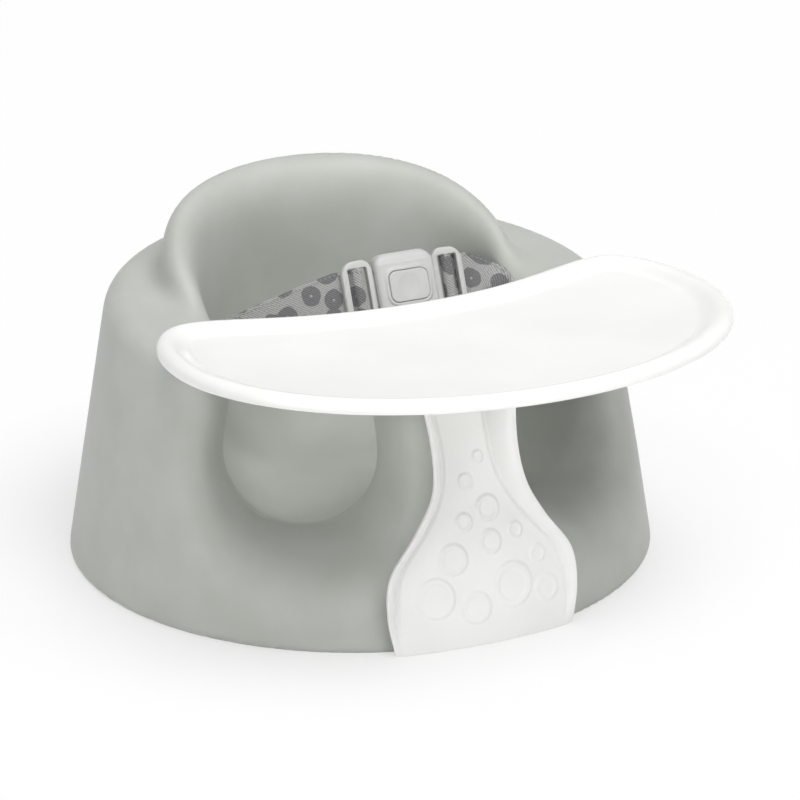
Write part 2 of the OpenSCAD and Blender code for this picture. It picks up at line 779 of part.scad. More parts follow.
// ---------- stem: a bent sheet with sloping flanges, from the lip under the base to the tray ----------
stem_top = tray_h - head_y * sin(tray_tilt) + (head_top - head_t / 2) * cos(tray_tilt);
// Height, half width, and how far the flange's edge lies behind the front of the base
stem_edge = [
    [lip_h, 61, 3.4], [25, 65, 5.5], [50, 62, 8.5], [75, 44.5, 10],
    [98, 32, 11.5], [122, 28.7, 18], [150, 31, 26], [stem_top, 35.5, 34]
];
stem_plan_r = 300;
saddle_gap = 0.5;
stem_samples = 8;
function stem_front(x, e, mid) =
    let (bend = x * x / 2 / stem_plan_r, rise = ease(e[1] - flange_w, e[1], abs(x)))
    [x, mid + bend + (e[2] - front_r - mid - e[1] * e[1] / 2 / stem_plan_r) * rise];
function stem_ring(e) =
    let (
        mid = panel_y(e[0]),
        flat = e[1] - flange_w,
        xs = concat(
            [for (k = [0 : stem_samples - 1]) -e[1] + flange_w * k / (stem_samples - 1)],
            [-flat / 2, 0, flat / 2],
            [for (k = [0 : stem_samples - 1]) flat + flange_w * k / (stem_samples - 1)]
        ),
        back = [
            for (x = xs)
                let (
                    p = stem_front(x, e, mid),
                    q = stem_front(x + 0.05, e, mid) - stem_front(x - 0.05, e, mid),
                    away = unit([-q[1], q[0]])
                )
                p + away * stem_wall
        ],
        n = len(xs)
    )
    concat(
        [for (x = xs) let (p = stem_front(x, e, mid)) [p[0], p[1], e[0]]],
        [for (i = [n - 1 : -1 : 0]) [back[i][0], back[i][1], e[0]]]
    );

saddle_low = max([for (y = [60 : 4 : 108]) pommel_z(y - front_r)]) + saddle_gap;
saddle_front = panel_y(saddle_low) + stem_wall / 2;

module tray_stem() {
    foot = panel_y(stem_edge[0][0]) + stem_wall / 2;
    lip_back = -front_r + lip_l;
    color("#f1f1ef") {
        skin([for (e = curve(stem_edge, 4)) stem_ring(e)]);
        translate([0, 0, lip_h]) linear_extrude(lip_t) polygon(concat(
            [for (x = [-lip_w / 2 : lip_w / 10 : lip_w / 2]) [x, foot + x * x / 2 / stem_plan_r]],
            [[lip_w / 2, lip_back], [-lip_w / 2, lip_back]]
        ));
        translate([-saddle_w / 2, saddle_front, saddle_low]) cube([saddle_w, saddle_l, stem_wall]);
        on_tray() difference() {
            translate([0, head_y, head_top - head_t]) rounded(head_w, head_l, 4, head_t);
            at_bosses()
                translate([0, 0, head_top - head_t - 1]) cylinder(d = tray_screw_d + 1, h = head_t + 2);
        }
    }
}

seat_body();
anchor_bushes();
anchor_washers();
anchor_screws();
strap_left();
strap_right();
buckle_back_shell();
buckle_front_shell();
release_button();
latch_plate();
button_spring();
tongue_left();
strap_frame_right();
tray_top();
tray_stem();
tray_screws();
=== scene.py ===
import json
import logging
import math
from collections.abc import Callable, Iterator, Sequence
from contextlib import contextmanager
from dataclasses import dataclass
from enum import Enum

import bmesh
import bpy
import numpy as np
from mathutils import Matrix, Vector

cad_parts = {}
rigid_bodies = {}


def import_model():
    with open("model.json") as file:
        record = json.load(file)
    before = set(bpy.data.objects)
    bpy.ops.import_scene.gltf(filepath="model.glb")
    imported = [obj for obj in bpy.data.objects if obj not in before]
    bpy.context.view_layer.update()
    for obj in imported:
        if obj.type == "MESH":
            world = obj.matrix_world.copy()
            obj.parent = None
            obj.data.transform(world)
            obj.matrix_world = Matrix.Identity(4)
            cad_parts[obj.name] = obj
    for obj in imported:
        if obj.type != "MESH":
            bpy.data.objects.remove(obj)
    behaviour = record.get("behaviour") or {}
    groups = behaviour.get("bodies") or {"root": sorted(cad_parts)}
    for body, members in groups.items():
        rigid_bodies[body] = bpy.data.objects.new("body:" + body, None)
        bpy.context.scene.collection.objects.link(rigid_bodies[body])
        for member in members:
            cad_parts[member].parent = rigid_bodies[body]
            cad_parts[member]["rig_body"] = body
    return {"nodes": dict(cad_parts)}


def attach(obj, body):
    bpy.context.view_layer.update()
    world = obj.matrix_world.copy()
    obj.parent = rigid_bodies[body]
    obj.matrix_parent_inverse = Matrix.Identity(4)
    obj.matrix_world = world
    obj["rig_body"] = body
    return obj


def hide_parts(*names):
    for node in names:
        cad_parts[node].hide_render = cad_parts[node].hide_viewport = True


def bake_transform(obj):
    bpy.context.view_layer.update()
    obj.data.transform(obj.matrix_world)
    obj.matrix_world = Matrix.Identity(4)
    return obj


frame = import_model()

log = logging.getLogger("floor_seat")
MM = 0.001
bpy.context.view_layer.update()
Socket = bpy.types.NodeSocket
Piece = bpy.types.Object
BMesh = bmesh.types.BMesh
Rows = np.ndarray
Way = Callable[[Rows], Rows]
Pair = tuple[float, float]
Triple = tuple[float, float, float]


# ---------------- small maths
def mix_min(a: Rows, b: Rows, k: float | Rows) -> Rows:
    """The lesser of two fields, blended over a band of width k."""
    h = np.maximum(k - np.abs(a - b), 0) / k
    return np.minimum(a, b) - h * h * k / 4


def mix_max(a: Rows, b: Rows, k: float | Rows) -> Rows:
    """The greater of two fields, blended over a band of width k."""
    return -mix_min(-a, -b, k)


def ease(a: float, b: float, t: Rows) -> Rows:
    """A smooth step from 0 at a to 1 at b."""
    u = np.clip((t - a) / (b - a), 0, 1)
    return u * u * (3 - 2 * u)


def unit(v: Rows) -> Rows:
    """A vector, or rows of vectors, at length one."""
    return v / np.linalg.norm(v, axis=-1, keepdims=True)


def evened(rows: Rows, rounds: int) -> Rows:
    """Rows of directions, each drawn towards its neighbours, but for the first and last."""
    for _ in range(rounds):
        rows[1:-1] = unit(rows[:-2] + 2 * rows[1:-1] + rows[2:])
    return rows


def through(points: Rows, steps: int) -> Rows:
    """A smooth curve through some points.

    Args:
        points: Rows of coordinates.
        steps: Samples between one point and the next.

    Returns:
        The sampled rows, with both end points.
    """
    p = np.vstack([points[:1], points, points[-1:]]).astype(float)
    rows = []
    for i in range(len(points) - 1):
        a, b, c, d = p[i : i + 4]
        for f in np.arange(steps) / steps:
            bend, twist = a - 2.5 * b + 2 * c - d / 2, 1.5 * b - a / 2 - 1.5 * c + d / 2
            rows.append(b + f * (c - a) / 2 + f**2 * bend + f**3 * twist)
    return np.array(rows + [p[-1]])


# ---------------- the foam's form
@dataclass(frozen=True)
class FoamForm:
    """The moulded tub as one smooth field in millimetres, negative inside the foam."""

    base_r: float = 190
    front_r: float = 186
    wall_lean: float = 9
    shoulder_h: float = 171.5
    shoulder_rise: float = 0.053
    shoulder_roll: float = 15
    nose_from: Pair = (-30, -110)
    nose_side: Pair = (50, 110)
    back_half_w: float = 119.5
    back_half_d: float = 107.5
    back_y: float = 26
    rim_h: float = 235.5
    rim_fall: float = 32
    rim_roll: float = 34.5
    rim_power: float = 1.25
    rim_cup: float = 0.0007
    back_draft: float = 0.037
    rim_top_y: float = 138
    well_half_w: float = 90
    well_half_d: float = 70
    well_y: float = 24
    seat_h: float = 44
    well_roll: float = 70
    well_draft: float = 0.065
    leg_x: float = 84.5
    leg_y: float = -88
    leg_h: float = 104.5
    leg_r: float = 48.5
    leg_turn: float = 28.5
    leg_flare: float = 43
    leg_splay: float = 12
    leg_splay_from: Pair = (-30, 40)
    flank_roll: float = 24
    flank_near: Pair = (5, 45)
    flank_far: Pair = (120, 75)
    flank_y: Pair = (-60, -110)
    flank_z: Pair = (15, 75)
    leg_reach: float = 80
    leg_fall: float = 0.355
    leg_pinch: float = 0.0068
    nose_lean: float = 0.45
    nose_out: float = 18
    nose_roll: float = 20
    pommel_roll: float = 45
    pommel_drop: float = 4
    rest_roll: float = 11
    mouth_roll: float = 26
    way_roll: float = 30
    well_way_roll: float = 50
    pinch_top: float = 1500
    base_edge: float = 3.5

    def drum(self, x: Rows, y: Rows, z: Rows) -> Rows:
        """The outer wall and the shoulders, rounder over the pommel."""
        front = ease(*self.nose_from, y)
        nose = front * (1 - ease(*self.nose_side, np.abs(x)))
        round_r = self.base_r - math.tan(math.radians(self.wall_lean)) * z
        wall = np.hypot(x, y * self.base_r / self.front_r) - round_r
        top = z - (self.shoulder_h + self.shoulder_rise * y - self.pommel_drop * front)
        return mix_max(wall * 0.98, top, self.shoulder_roll + self.pommel_roll * nose)

    @staticmethod
    def oval(x: Rows, y: Rows, a: Rows, b: Rows) -> Rows:
        """Nearly the distance to an ellipse with half axes a and b."""
        n = np.hypot(x / a, y / b)
        return n * (n - 1) / np.maximum(np.hypot(x / a / a, y / b / b), 1e-6)

    def back_rest(self, x: Rows, y: Rows, z: Rows) -> Rows:
        """The back rest, whose rim falls towards the front."""
        draft = self.back_draft * (z - 160)
        wall = self.oval(x, y - self.back_y, self.back_half_w - draft, self.back_half_d - draft)
        run = np.maximum(self.rim_top_y - y, 0) / 100
        power = self.rim_power
        slope = power * self.rim_fall * np.minimum(run, 1.2) ** (power - 1) / 100
        top = z - (self.rim_h - self.rim_fall * run**power + self.rim_cup * x * x)
        top = top / np.hypot(1, slope)
        return mix_max(wall, top, self.rim_roll)

    def hollow(self, x: Rows, y: Rows, z: Rows) -> Rows:
        """The well for the child, with the two leg openings."""
        draft = self.well_draft * (z - 100)
        wall = self.oval(x, y - self.well_y, self.well_half_w + draft, self.well_half_d + draft)
        well = mix_max(wall, self.seat_h - z, self.well_roll)
        turn = math.radians(self.leg_turn)
        px, py = np.abs(x) - self.leg_x, y - self.leg_y
        u = px * math.sin(turn) - py * math.cos(turn)
        v = py * math.sin(turn) + px * math.cos(turn)
        splay = self.leg_splay * ease(*self.leg_splay_from, u)
        side = np.maximum(v, 0) + np.minimum(v + splay, 0)
        w = z - self.leg_h - self.leg_fall * np.minimum(u, 0)
        above = np.maximum(w, 0) ** 2
        pinch = self.leg_pinch * above / (1 + above / self.pinch_top)
        round_way = np.hypot(side, np.minimum(w, 0)) - self.leg_r + pinch
        return mix_min(well, mix_max(round_way, -u - self.leg_reach, self.way_roll), self.well_way_roll)

    def field(self, p: Rows) -> Rows:
        """The field at rows of points, negative inside the foam."""
        x, y, z = p[..., 0], p[..., 1], p[..., 2]
        outside = mix_min(self.drum(x, y, z), self.back_rest(x, y, z), self.rest_roll)
        across = ease(*self.flank_near, np.abs(x)) * ease(*self.flank_far, np.abs(x))
        flank = across * ease(*self.flank_y, y) * ease(*self.flank_z, z)
        flare = (self.leg_flare - self.mouth_roll) * ease(0, -70, y)
        roll = self.mouth_roll + flare + self.flank_roll * flank
        nose = (self.nose_lean * z - y - self.front_r - self.nose_out) / math.hypot(1, self.nose_lean)
        return mix_max(mix_max(outside, -self.hollow(x, y, z), roll), nose, self.nose_roll)

    def cut_field(self, p: Rows) -> Rows:
        """The field with the flat base and its small rounded edge."""
        return mix_max(self.field(p), -p[..., 2], self.base_edge)

    def slope(self, p: Rows, of: Way, d: float = 0.4) -> Rows:
        """The steepest rise of a field at rows of points."""
        steps = np.eye(3) * d
        return np.stack([(of(p + s) - of(p - s)) / (2 * d) for s in steps], -1)

    def settle(self, p: Rows, rounds: int = 3) -> Rows:
        """Moves rows of points onto the surface along the field's slope."""
        for _ in range(rounds):
            g = self.slope(p, self.cut_field)
            f = self.cut_field(p)
            p = p - g * (f / np.maximum((g * g).sum(-1), 0.2))[..., None]
        return p

    def first_foam(self, at: Callable[[float], Triple], low: float, high: float) -> float:
        """Where the foam is first met as one coordinate runs from low to high."""
        for _ in range(22):
            middle = (low + high) / 2
            low, high = (middle, high) if self.field(np.array(at(middle))) > 0 else (low, middle)
        return high

    def wall(self, side: int, y: float, z: float, off: float) -> tuple[Rows, Rows]:
        """A place in front of the well's wall.

        Args:
            side: 1 for the right wall, -1 for the left.
            y: Place, front to back.
            z: Height.
            off: How far it stands off the wall.

        Returns:
            The place, and the direction from it towards the foam.
        """
        x = self.first_foam(lambda t: (t, y, z), 20, 140)
        p = np.array([x, y, z])
        g = unit(self.slope(p, self.field, 0.25))
        mirror = np.array([side, 1, 1])
        return (p + g * off) * mirror, -g * mirror

    def nose_y(self, z: float) -> float:
        """Where the pommel's front lies at a height."""
        return self.first_foam(lambda t: (0, t, z), -self.front_r - 20, -70)

    def pommel_top(self) -> float:
        """The pommel's greatest height."""
        tops = [-self.first_foam(lambda t: (0, y, -t), -185, -120) for y in range(-126, -76, 4)]
        return max(tops)


FOAM = FoamForm()


# ---------------- mesh helpers
def bevel(bm: BMesh, edges: list[bmesh.types.BMEdge], offset: float, steps: int) -> None:
    """Rounds some edges."""
    bmesh.ops.bevel(bm, geom=edges, offset=offset, segments=steps, profile=0.5, affect="EDGES", material=-1)


def add_object(name: str, data: bpy.types.ID) -> Piece:
    """Puts a new object in the scene."""
    obj = bpy.data.objects.new(name, data)
    bpy.context.scene.collection.objects.link(obj)
    return obj


def reshape(bm: BMesh, way: Way) -> None:
    """Moves every point of a mesh by a rule on rows of coordinates."""
    co = np.array([v.co for v in bm.verts], float).reshape(-1, 3)
    for v, p in zip(bm.verts, way(co)):
        v.co = p


@contextmanager
def edited(mesh: bpy.types.Mesh) -> Iterator[BMesh]:
    """Opens a mesh for editing, and writes it back."""
    bm = bmesh.new()
    bm.from_mesh(mesh)
    yield bm
    bm.to_mesh(mesh)
    bm.free()


def in_mm(mesh: bpy.types.Mesh) -> BMesh:
    """A mesh as a bmesh in millimetres."""
    bm = bmesh.new()
    bm.from_mesh(mesh)
    bmesh.ops.scale(bm, vec=Vector((1 / MM,) * 3), verts=bm.verts)
    return bm


class Shape:
    """A mesh in the making, in millimetres, shaped with mesh operators."""

    def __init__(self) -> None:
        """Starts empty."""
        self.bm = bmesh.new()

    def block(
        self, size: Sequence[float], centre: Sequence[float], corner: float = 0, edge: float = 0,
        corner_steps: int = 8, edge_steps: int = 3, lower_edge: bool = True,
    ) -> "Shape":
        """Adds a block with rounded corners and eased edges.

        Args:
            size: Width, length and height.
            centre: Its middle.
            corner: Radius of the four upright corners.
            edge: Radius of the edges round the top and bottom.
            corner_steps: Segments in a corner.
            edge_steps: Segments in an edge.
            lower_edge: Whether the bottom's edge is eased too.

        Returns:
            The same shape.
        """
        part = bmesh.new()
        bmesh.ops.create_cube(part, size=1)
        bmesh.ops.scale(part, vec=Vector(size), verts=part.verts)
        if corner:
            upright = [e for e in part.edges if abs(e.verts[0].co.z - e.verts[1].co.z) > 1e-6]
            bevel(part, upright, corner, corner_steps)
        if edge:
            top = size[2] / 2 - 1e-5
            flat = [e for e in part.edges if all(v.co.z > top for v in e.verts)]
            if lower_edge:
                flat += [e for e in part.edges if all(v.co.z < -top for v in e.verts)]
            bevel(part, flat, edge, edge_steps)
        bmesh.ops.translate(part, vec=Vector(centre), verts=part.verts)
        return self.take(part)

    def rod(
        self, radius: float, start: Sequence[float], end: Sequence[float], sides: int = 32, edge: float = 0
    ) -> "Shape":
        """Adds a round rod between two points, with eased ends."""
        part = bmesh.new()
        a, b = Vector(start), Vector(end)
        depth = (b - a).length
        round_ends = {"cap_ends": True, "segments": sides, "radius1": radius, "radius2": radius}
        bmesh.ops.create_cone(part, depth=depth, **round_ends)
        if edge:
            rims = [e for e in part.edges if abs(e.verts[0].co.z - e.verts[1].co.z) < 1e-6]
            bevel(part, rims, edge, 2)
        turn = Vector((0, 0, 1)).rotation_difference(b - a).to_matrix().to_4x4()
        bmesh.ops.transform(part, matrix=Matrix.Translation((a + b) / 2) @ turn, verts=part.verts)
        return self.take(part)

    def take(self, part: BMesh) -> "Shape":
        """Adds another mesh to this one and frees it."""
        mesh = bpy.data.meshes.new("part")
        part.to_mesh(mesh)
        part.free()
        self.bm.from_mesh(mesh)
        bpy.data.meshes.remove(mesh)
        return self

    def absorb(self, obj: Piece) -> "Shape":
        """Adds an object's mesh and removes the object."""
        self.take(in_mm(obj.data))
        bpy.data.objects.remove(obj)
        return self

    def warp(self, way: Way) -> "Shape":
        """Moves every point by a rule on rows of coordinates."""
        reshape(self.bm, way)
        return self

    def place(self, matrix: Matrix) -> "Shape":
        """Moves the shape by a matrix in millimetres."""
        bmesh.ops.transform(self.bm, matrix=matrix, verts=self.bm.verts)
        return self

    def outward(self) -> "Shape":
        """Points every face outwards."""
        bmesh.ops.recalc_face_normals(self.bm, faces=self.bm.faces)
        return self

    def done(self, name: str, sharp: float = 35) -> Piece:
        """Makes the object, in metres at the origin, shaded smooth but at sharp edges."""
        bmesh.ops.scale(self.bm, vec=Vector((MM, MM, MM)), verts=self.bm.verts)
        mesh = bpy.data.meshes.new(name)
        self.bm.to_mesh(mesh)
        self.bm.free()
        obj = add_object(name, mesh)
        smooth(obj, sharp)
        return obj


def lattice(across: int, along: int) -> Shape:
    """A flat grid whose points have places 0 to 1 in x and y."""
    shape = Shape()
    uv = shape.bm.loops.layers.uv.new("cloth")
    bmesh.ops.create_grid(shape.bm, x_segments=across, y_segments=along, size=0.5)
    bmesh.ops.translate(shape.bm, vec=Vector((0.5, 0.5, 0)), verts=shape.bm.verts)
    for f in shape.bm.faces:
        for loop in f.loops:
            loop[uv].uv = loop.vert.co.xy
    return shape


def smooth(obj: Piece, sharp: float) -> None:
    """Shades an object smooth, with a crease where faces meet more sharply than the angle."""
    obj.data.polygons.foreach_set("use_smooth", [True] * len(obj.data.polygons))
    obj.data.set_sharp_from_angle(angle=math.radians(sharp))


def settle_modifiers(obj: Piece) -> None:
    """Writes an object's modifiers into its mesh."""
    graph = bpy.context.evaluated_depsgraph_get()
    shown = obj.evaluated_get(graph)
    mesh = bpy.data.meshes.new_from_object(shown, preserve_all_data_layers=True, depsgraph=graph)
    old, obj.data = obj.data, mesh
    obj.modifiers.clear()
    mesh.name = old.name
    bpy.data.meshes.remove(old)


def ease_edges(obj: Piece, width_mm: float, steps: int) -> None:
    """Rounds an object's sharp edges, and writes all its modifiers into its mesh."""
    edges = obj.modifiers.new("edges", "BEVEL")
    edges.width, edges.segments = width_mm * MM, steps
    edges.limit_method, edges.angle_limit = "ANGLE", math.radians(60)
    settle_modifiers(obj)


def cut(obj: Piece, tool: Shape | Piece, how: str = "DIFFERENCE") -> None:
    """Cuts a shape or another object from an object, and removes it."""
    tool = tool.done("tool") if isinstance(tool, Shape) else tool
    modifier = obj.modifiers.new("solid", "BOOLEAN")
    modifier.operation, modifier.object, modifier.solver = how, tool, "EXACT"
    settle_modifiers(obj)
    bpy.data.objects.remove(tool)


def join(obj: Piece, tool: Shape | Piece) -> None:
    """Joins a shape or another object on to an object as one solid."""
    cut(obj, tool, "UNION")


def annex(obj: Piece, shape: Shape) -> None:
    """Adds a shape to an object's mesh as it is."""
    extra = shape.done("extra")
    with edited(obj.data) as bm:
        bm.from_mesh(extra.data)
    bpy.data.objects.remove(extra)


def mould(obj: Piece, skin_mm: float, rounds: int = 0) -> None:
    """Turns a piece into one even skin, with its edges and inner corners softened as moulding leaves them."""
    skin = obj.modifiers.new("skin", "REMESH")
    skin.mode, skin.voxel_size = "VOXEL", skin_mm * MM
    if rounds:
        soften = obj.modifiers.new("soften", "SMOOTH")
        soften.factor, soften.iterations = 0.5, rounds
    settle_modifiers(obj)


def node_copy(node: str, name: str) -> Piece:
    """A welded copy of a frame node's mesh, without its materials."""
    mesh = frame["nodes"][node].data.copy()
    mesh.materials.clear()
    with edited(mesh) as bm:
        bmesh.ops.remove_doubles(bm, verts=bm.verts, dist=1e-6)
    return add_object(name, mesh)


# ---------------- finishes
def srgb(code: str) -> tuple[float, float, float, float]:
    """A written colour as the linear values that shaders take."""
    parts = [int(code[i : i + 2], 16) / 255 for i in (1, 3, 5)]
    linear = [c / 12.92 if c <= 0.04045 else ((c + 0.055) / 1.055) ** 2.4 for c in parts]
    return (*linear, 1.0)


class Graph:
    """The nodes of a material or of the sky, built up one by one."""

    def __init__(self, owner: bpy.types.Material | bpy.types.World) -> None:
        """Opens the nodes of a new material, with its principled shader, or of a new sky."""
        owner.use_nodes = True
        self.material, self.tree = owner, owner.node_tree
        self.shader = next((n for n in self.tree.nodes if n.type == "BSDF_PRINCIPLED"), None)

    def feed(self, socket: Socket, value: object) -> None:
        """Links a socket to another, or sets its value."""
        if isinstance(value, Socket):
            self.tree.links.new(value, socket)
        else:
            socket.default_value = value

    def add(self, kind: str, **settings: object) -> bpy.types.Node:
        """Adds a node; sockets are set by name, and properties by a leading underscore."""
        node = self.tree.nodes.new(kind)
        for key, value in settings.items():
            if key.startswith("_"):
                setattr(node, key[1:], value)
        for key, value in settings.items():
            if key.startswith("_"):
                continue
            numbered = key[0] == "i" and key[1:].isdigit()
            self.feed(node.inputs[int(key[1:]) if numbered else key.replace("_", " ")], value)
        return node

    def place(self) -> Socket:
        """Object coordinates, in metres."""
        return self.add("ShaderNodeTexCoord").outputs["Object"]

    def maths(
        self, operation: str, a: object, b: object = 0.0, c: object = 0.0, clamp: bool = False
    ) -> Socket:
        """One step of arithmetic."""
        return self.add("ShaderNodeMath", _operation=operation, _use_clamp=clamp, i0=a, i1=b, i2=c).outputs[0]

    def noise(self, at: Socket, size_mm: float, detail: float = 2, roughness: float = 0.5) -> Socket:
        """Soft noise whose features have a real size."""
        scale = 1 / (size_mm * MM)
        node = self.add("ShaderNodeTexNoise", Vector=at, Scale=scale, Detail=detail, Roughness=roughness)
        return node.outputs["Fac"]

    def swing(self, at: Socket, size_mm: float, detail: float, roughness: float, amount: float) -> Socket:
        """Noise about zero, times an amount."""
        noise = self.noise(at, size_mm, detail, roughness)
        return self.maths("MULTIPLY", self.maths("SUBTRACT", noise, 0.5), amount)

    def between(self, amount: Socket, low: object, high: object) -> Socket:
        """A colour between two others."""
        mix = self.add("ShaderNodeMix", _data_type="RGBA")
        for place, value in ((0, amount), (6, low), (7, high)):
            self.feed(mix.inputs[place], value)
        return mix.outputs[2]

    def range(self, value: Socket, low: float, high: float, to_low: float, to_high: float) -> Socket:
        """A value moved from one range to another, held at its ends."""
        return self.add("ShaderNodeMapRange", i0=value, i1=low, i2=high, i3=to_low, i4=to_high).outputs[0]

    def bump(self, height: Socket, depth_mm: float, under: Socket | None = None) -> Socket:
        """Fine relief of a real depth, on top of any other."""
        node = self.add("ShaderNodeBump", Strength=1.0, Distance=depth_mm * MM, Height=height)
        if under is not None:
            self.feed(node.inputs["Normal"], under)
        return node.outputs[0]

    def seen(self) -> Socket:
        """One for what the camera sees, straight, in a reflection or through a clear piece."""
        path = self.add("ShaderNodeLightPath").outputs
        seen = self.maths("MAXIMUM", path["Is Camera Ray"], path["Is Glossy Ray"])
        return self.maths("MAXIMUM", seen, path["Is Transmission Ray"])

    def wire(self, **sockets: object) -> None:
        """Sets or links the shader's sockets."""
        for key, value in sockets.items():
            self.feed(self.shader.inputs[key.replace("_", " ")], value)


@dataclass(frozen=True)
class FoamSkin:
    """The satin skin of moulded polyurethane foam: an even matt sheen, fine grain and slow ripples."""

    colour: str = "#bbbdb8"
    shade: str = "#b4b6b0"
    cloud_mm: float = 38
    ripple_mm: float = 9
    pore_mm: float = 2.6
    grain_mm: float = 0.7

    def build(self) -> bpy.types.Material:
        """Makes the material."""
        g = Graph(bpy.data.materials.new("moulded_foam_skin"))
        at = g.place()
        cloud = g.noise(at, self.cloud_mm, 3)
        grain = g.noise(at, self.grain_mm, 2)
        ripple = g.noise(at, self.ripple_mm, 2)
        pore = g.add("ShaderNodeTexVoronoi", Vector=at, Scale=1 / (self.pore_mm * MM)).outputs["Distance"]
        speck = g.range(pore, 0.0, 0.12, 1.0, 0.0)
        tone = g.between(g.range(cloud, 0.35, 0.65, 0, 1), srgb(self.shade), srgb(self.colour))
        relief = g.bump(ripple, 0.10)
        relief = g.bump(grain, 0.035, relief)
        relief = g.bump(speck, -0.03, relief)
        rough = g.maths("ADD", g.range(grain, 0.3, 0.7, 0.46, 0.56), g.range(cloud, 0.3, 0.7, -0.03, 0.04))
        g.wire(Base_Color=tone, Roughness=rough, Normal=relief, IOR=1.45)
        g.wire(Sheen_Weight=0.08, Sheen_Roughness=0.5)
        return g.material


@dataclass(frozen=True)
class MouldedPlastic:
    """Injection-moulded plastic: a polished mould's gloss or satin, with faint flow marks and scuffs."""

    name: str
    colour: str
    shade: str
    rough: float
    texture_mm: float
    texture_depth_mm: float
    flow_mm: float = 60
    scuff_mm: float = 9
    scuff_rough: float = 0.08

    def build(self) -> bpy.types.Material:
        """Makes the material."""
        g = Graph(bpy.data.materials.new(self.name))
        at = g.place()
        flow = g.noise(at, self.flow_mm, 2)
        fine = g.noise(at, self.texture_mm, 3, 0.6)
        drawn = g.add("ShaderNodeMapping", _vector_type="TEXTURE", Vector=at, Scale=(1.0, 0.06, 0.3))
        drawn.inputs["Rotation"].default_value = (0.3, 0.2, 0.7)
        scuff = g.range(g.noise(drawn.outputs[0], self.scuff_mm, 4, 0.7), 0.62, 0.72, 0, 1)
        tone = g.between(g.range(flow, 0.35, 0.65, 0, 1), srgb(self.shade), srgb(self.colour))
        relief = g.bump(flow, 0.12)
        relief = g.bump(fine, self.texture_depth_mm, relief)
        rough = g.range(fine, 0.3, 0.7, self.rough - 0.03, self.rough + 0.03)
        rough = g.maths("ADD", rough, g.maths("MULTIPLY", scuff, self.scuff_rough))
        g.wire(Base_Color=tone, Roughness=rough, Normal=relief, IOR=1.49)
        return g.material


@dataclass(frozen=True)
class Webbing:
    """Woven polyester webbing with a print of pebbles: a matt, fuzzy face with a diagonal twill.

    Its map is in metres, along and across. The real twill, at about 0.6 mm, is too fine to show, so it is
    drawn as coarse as it needs to show.
    """

    colour: str = "#b9b9b7"
    thread: str = "#7f807e"
    motif: str = "#808081"
    motif_thread: str = "#57575a"
    stitch: str = "#8a8b89"
    width_mm: float = 31
    pebble_mm: float = 17
    twill_mm: float = 1.9
    fuzz_mm: float = 1.1
    shake_mm: float = 5
    stitch_mm: float = 2.6
    stitch_in: Pair = (1.1, 2.6)

    def build(self) -> bpy.types.Material:
        """Makes the material."""
        g = Graph(bpy.data.materials.new("printed_webbing"))
        uv = g.add("ShaderNodeUVMap", _uv_map="cloth").outputs[0]
        xy = g.add("ShaderNodeSeparateXYZ", Vector=uv)
        along, across = xy.outputs[0], xy.outputs[1]
        pitch = 2 * math.pi / (self.twill_mm * MM)
        twill = g.maths("SINE", g.maths("MULTIPLY", g.maths("ADD", along, across), pitch))
        weft = g.maths("SINE", g.maths("MULTIPLY", g.maths("SUBTRACT", along, across), pitch * 1.9))
        yarn = g.maths("ADD", g.maths("MULTIPLY", twill, 0.6), g.maths("MULTIPLY", weft, 0.4))
        weave = g.maths("ADD", yarn, g.swing(uv, self.fuzz_mm, 3, 0.7, 3.2))
        print_at = g.add("ShaderNodeMapping", Vector=uv, Location=(0.004, 0.0035, 0)).outputs[0]
        pebble = g.add("ShaderNodeTexVoronoi", _voronoi_dimensions="2D", Vector=print_at)
        pebble.inputs["Scale"].default_value = 1 / (self.pebble_mm * MM)
        pebble.inputs["Randomness"].default_value = 0.8
        reach = g.maths("ADD", pebble.outputs["Distance"], g.swing(uv, self.shake_mm, 2, 0.5, 0.16))
        blot = g.range(reach, 0.40, 0.385, 0, 1)
        dot = g.range(pebble.outputs["Distance"], 0.055, 0.045, 0, 1)
        mark = g.maths("SUBTRACT", blot, dot, clamp=True)
        lift = g.range(weave, -1.0, 1.0, 0, 1)
        base = g.between(lift, srgb(self.thread), srgb(self.colour))
        tone = g.between(mark, base, g.between(lift, srgb(self.motif_thread), srgb(self.motif)))
        edge = g.maths("ABSOLUTE", g.maths("SUBTRACT", across, self.width_mm * MM / 2))
        outer, inner = (self.width_mm / 2 - inset for inset in self.stitch_in)
        near = g.range(edge, inner * MM, (inner + 0.4) * MM, 0, 1)
        far = g.range(edge, (outer - 0.3) * MM, outer * MM, 1, 0)
        beat = g.maths("MULTIPLY", along, 2 * math.pi / (self.stitch_mm * MM))
        dash = g.range(g.maths("SINE", beat), -0.4, 0.0, 0, 1)
        stitch = g.maths("MULTIPLY", g.maths("MULTIPLY", near, far), dash)
        tone = g.between(g.maths("MULTIPLY", stitch, 0.55), tone, srgb(self.stitch))
        relief = g.bump(weave, 0.10)
        relief = g.bump(stitch, 0.35, relief)
        g.wire(Base_Color=tone, Roughness=0.82, Normal=relief, Sheen_Weight=0.25, Sheen_Roughness=0.45)
        return g.material


@dataclass(frozen=True)
class PlatedSteel:
    """Zinc-plated steel, for screws, washers and the spring: a cool metal, a little cloudy."""

    colour: str = "#b8bbbc"
    shade: str = "#a3a6a6"
    cloud_mm: float = 2.5
    grit_mm: float = 0.4

    def build(self) -> bpy.types.Material:
        """Makes the material."""
        g = Graph(bpy.data.materials.new("zinc_plated_steel"))
        at = g.place()
        cloud = g.noise(at, self.cloud_mm, 3)
        tone = g.between(cloud, srgb(self.shade), srgb(self.colour))
        rough = g.range(cloud, 0.3, 0.7, 0.28, 0.42)
        relief = g.bump(g.noise(at, self.grit_mm, 2), 0.01)
        g.wire(Base_Color=tone, Metallic=1.0, Roughness=rough, Normal=relief)
        return g.material


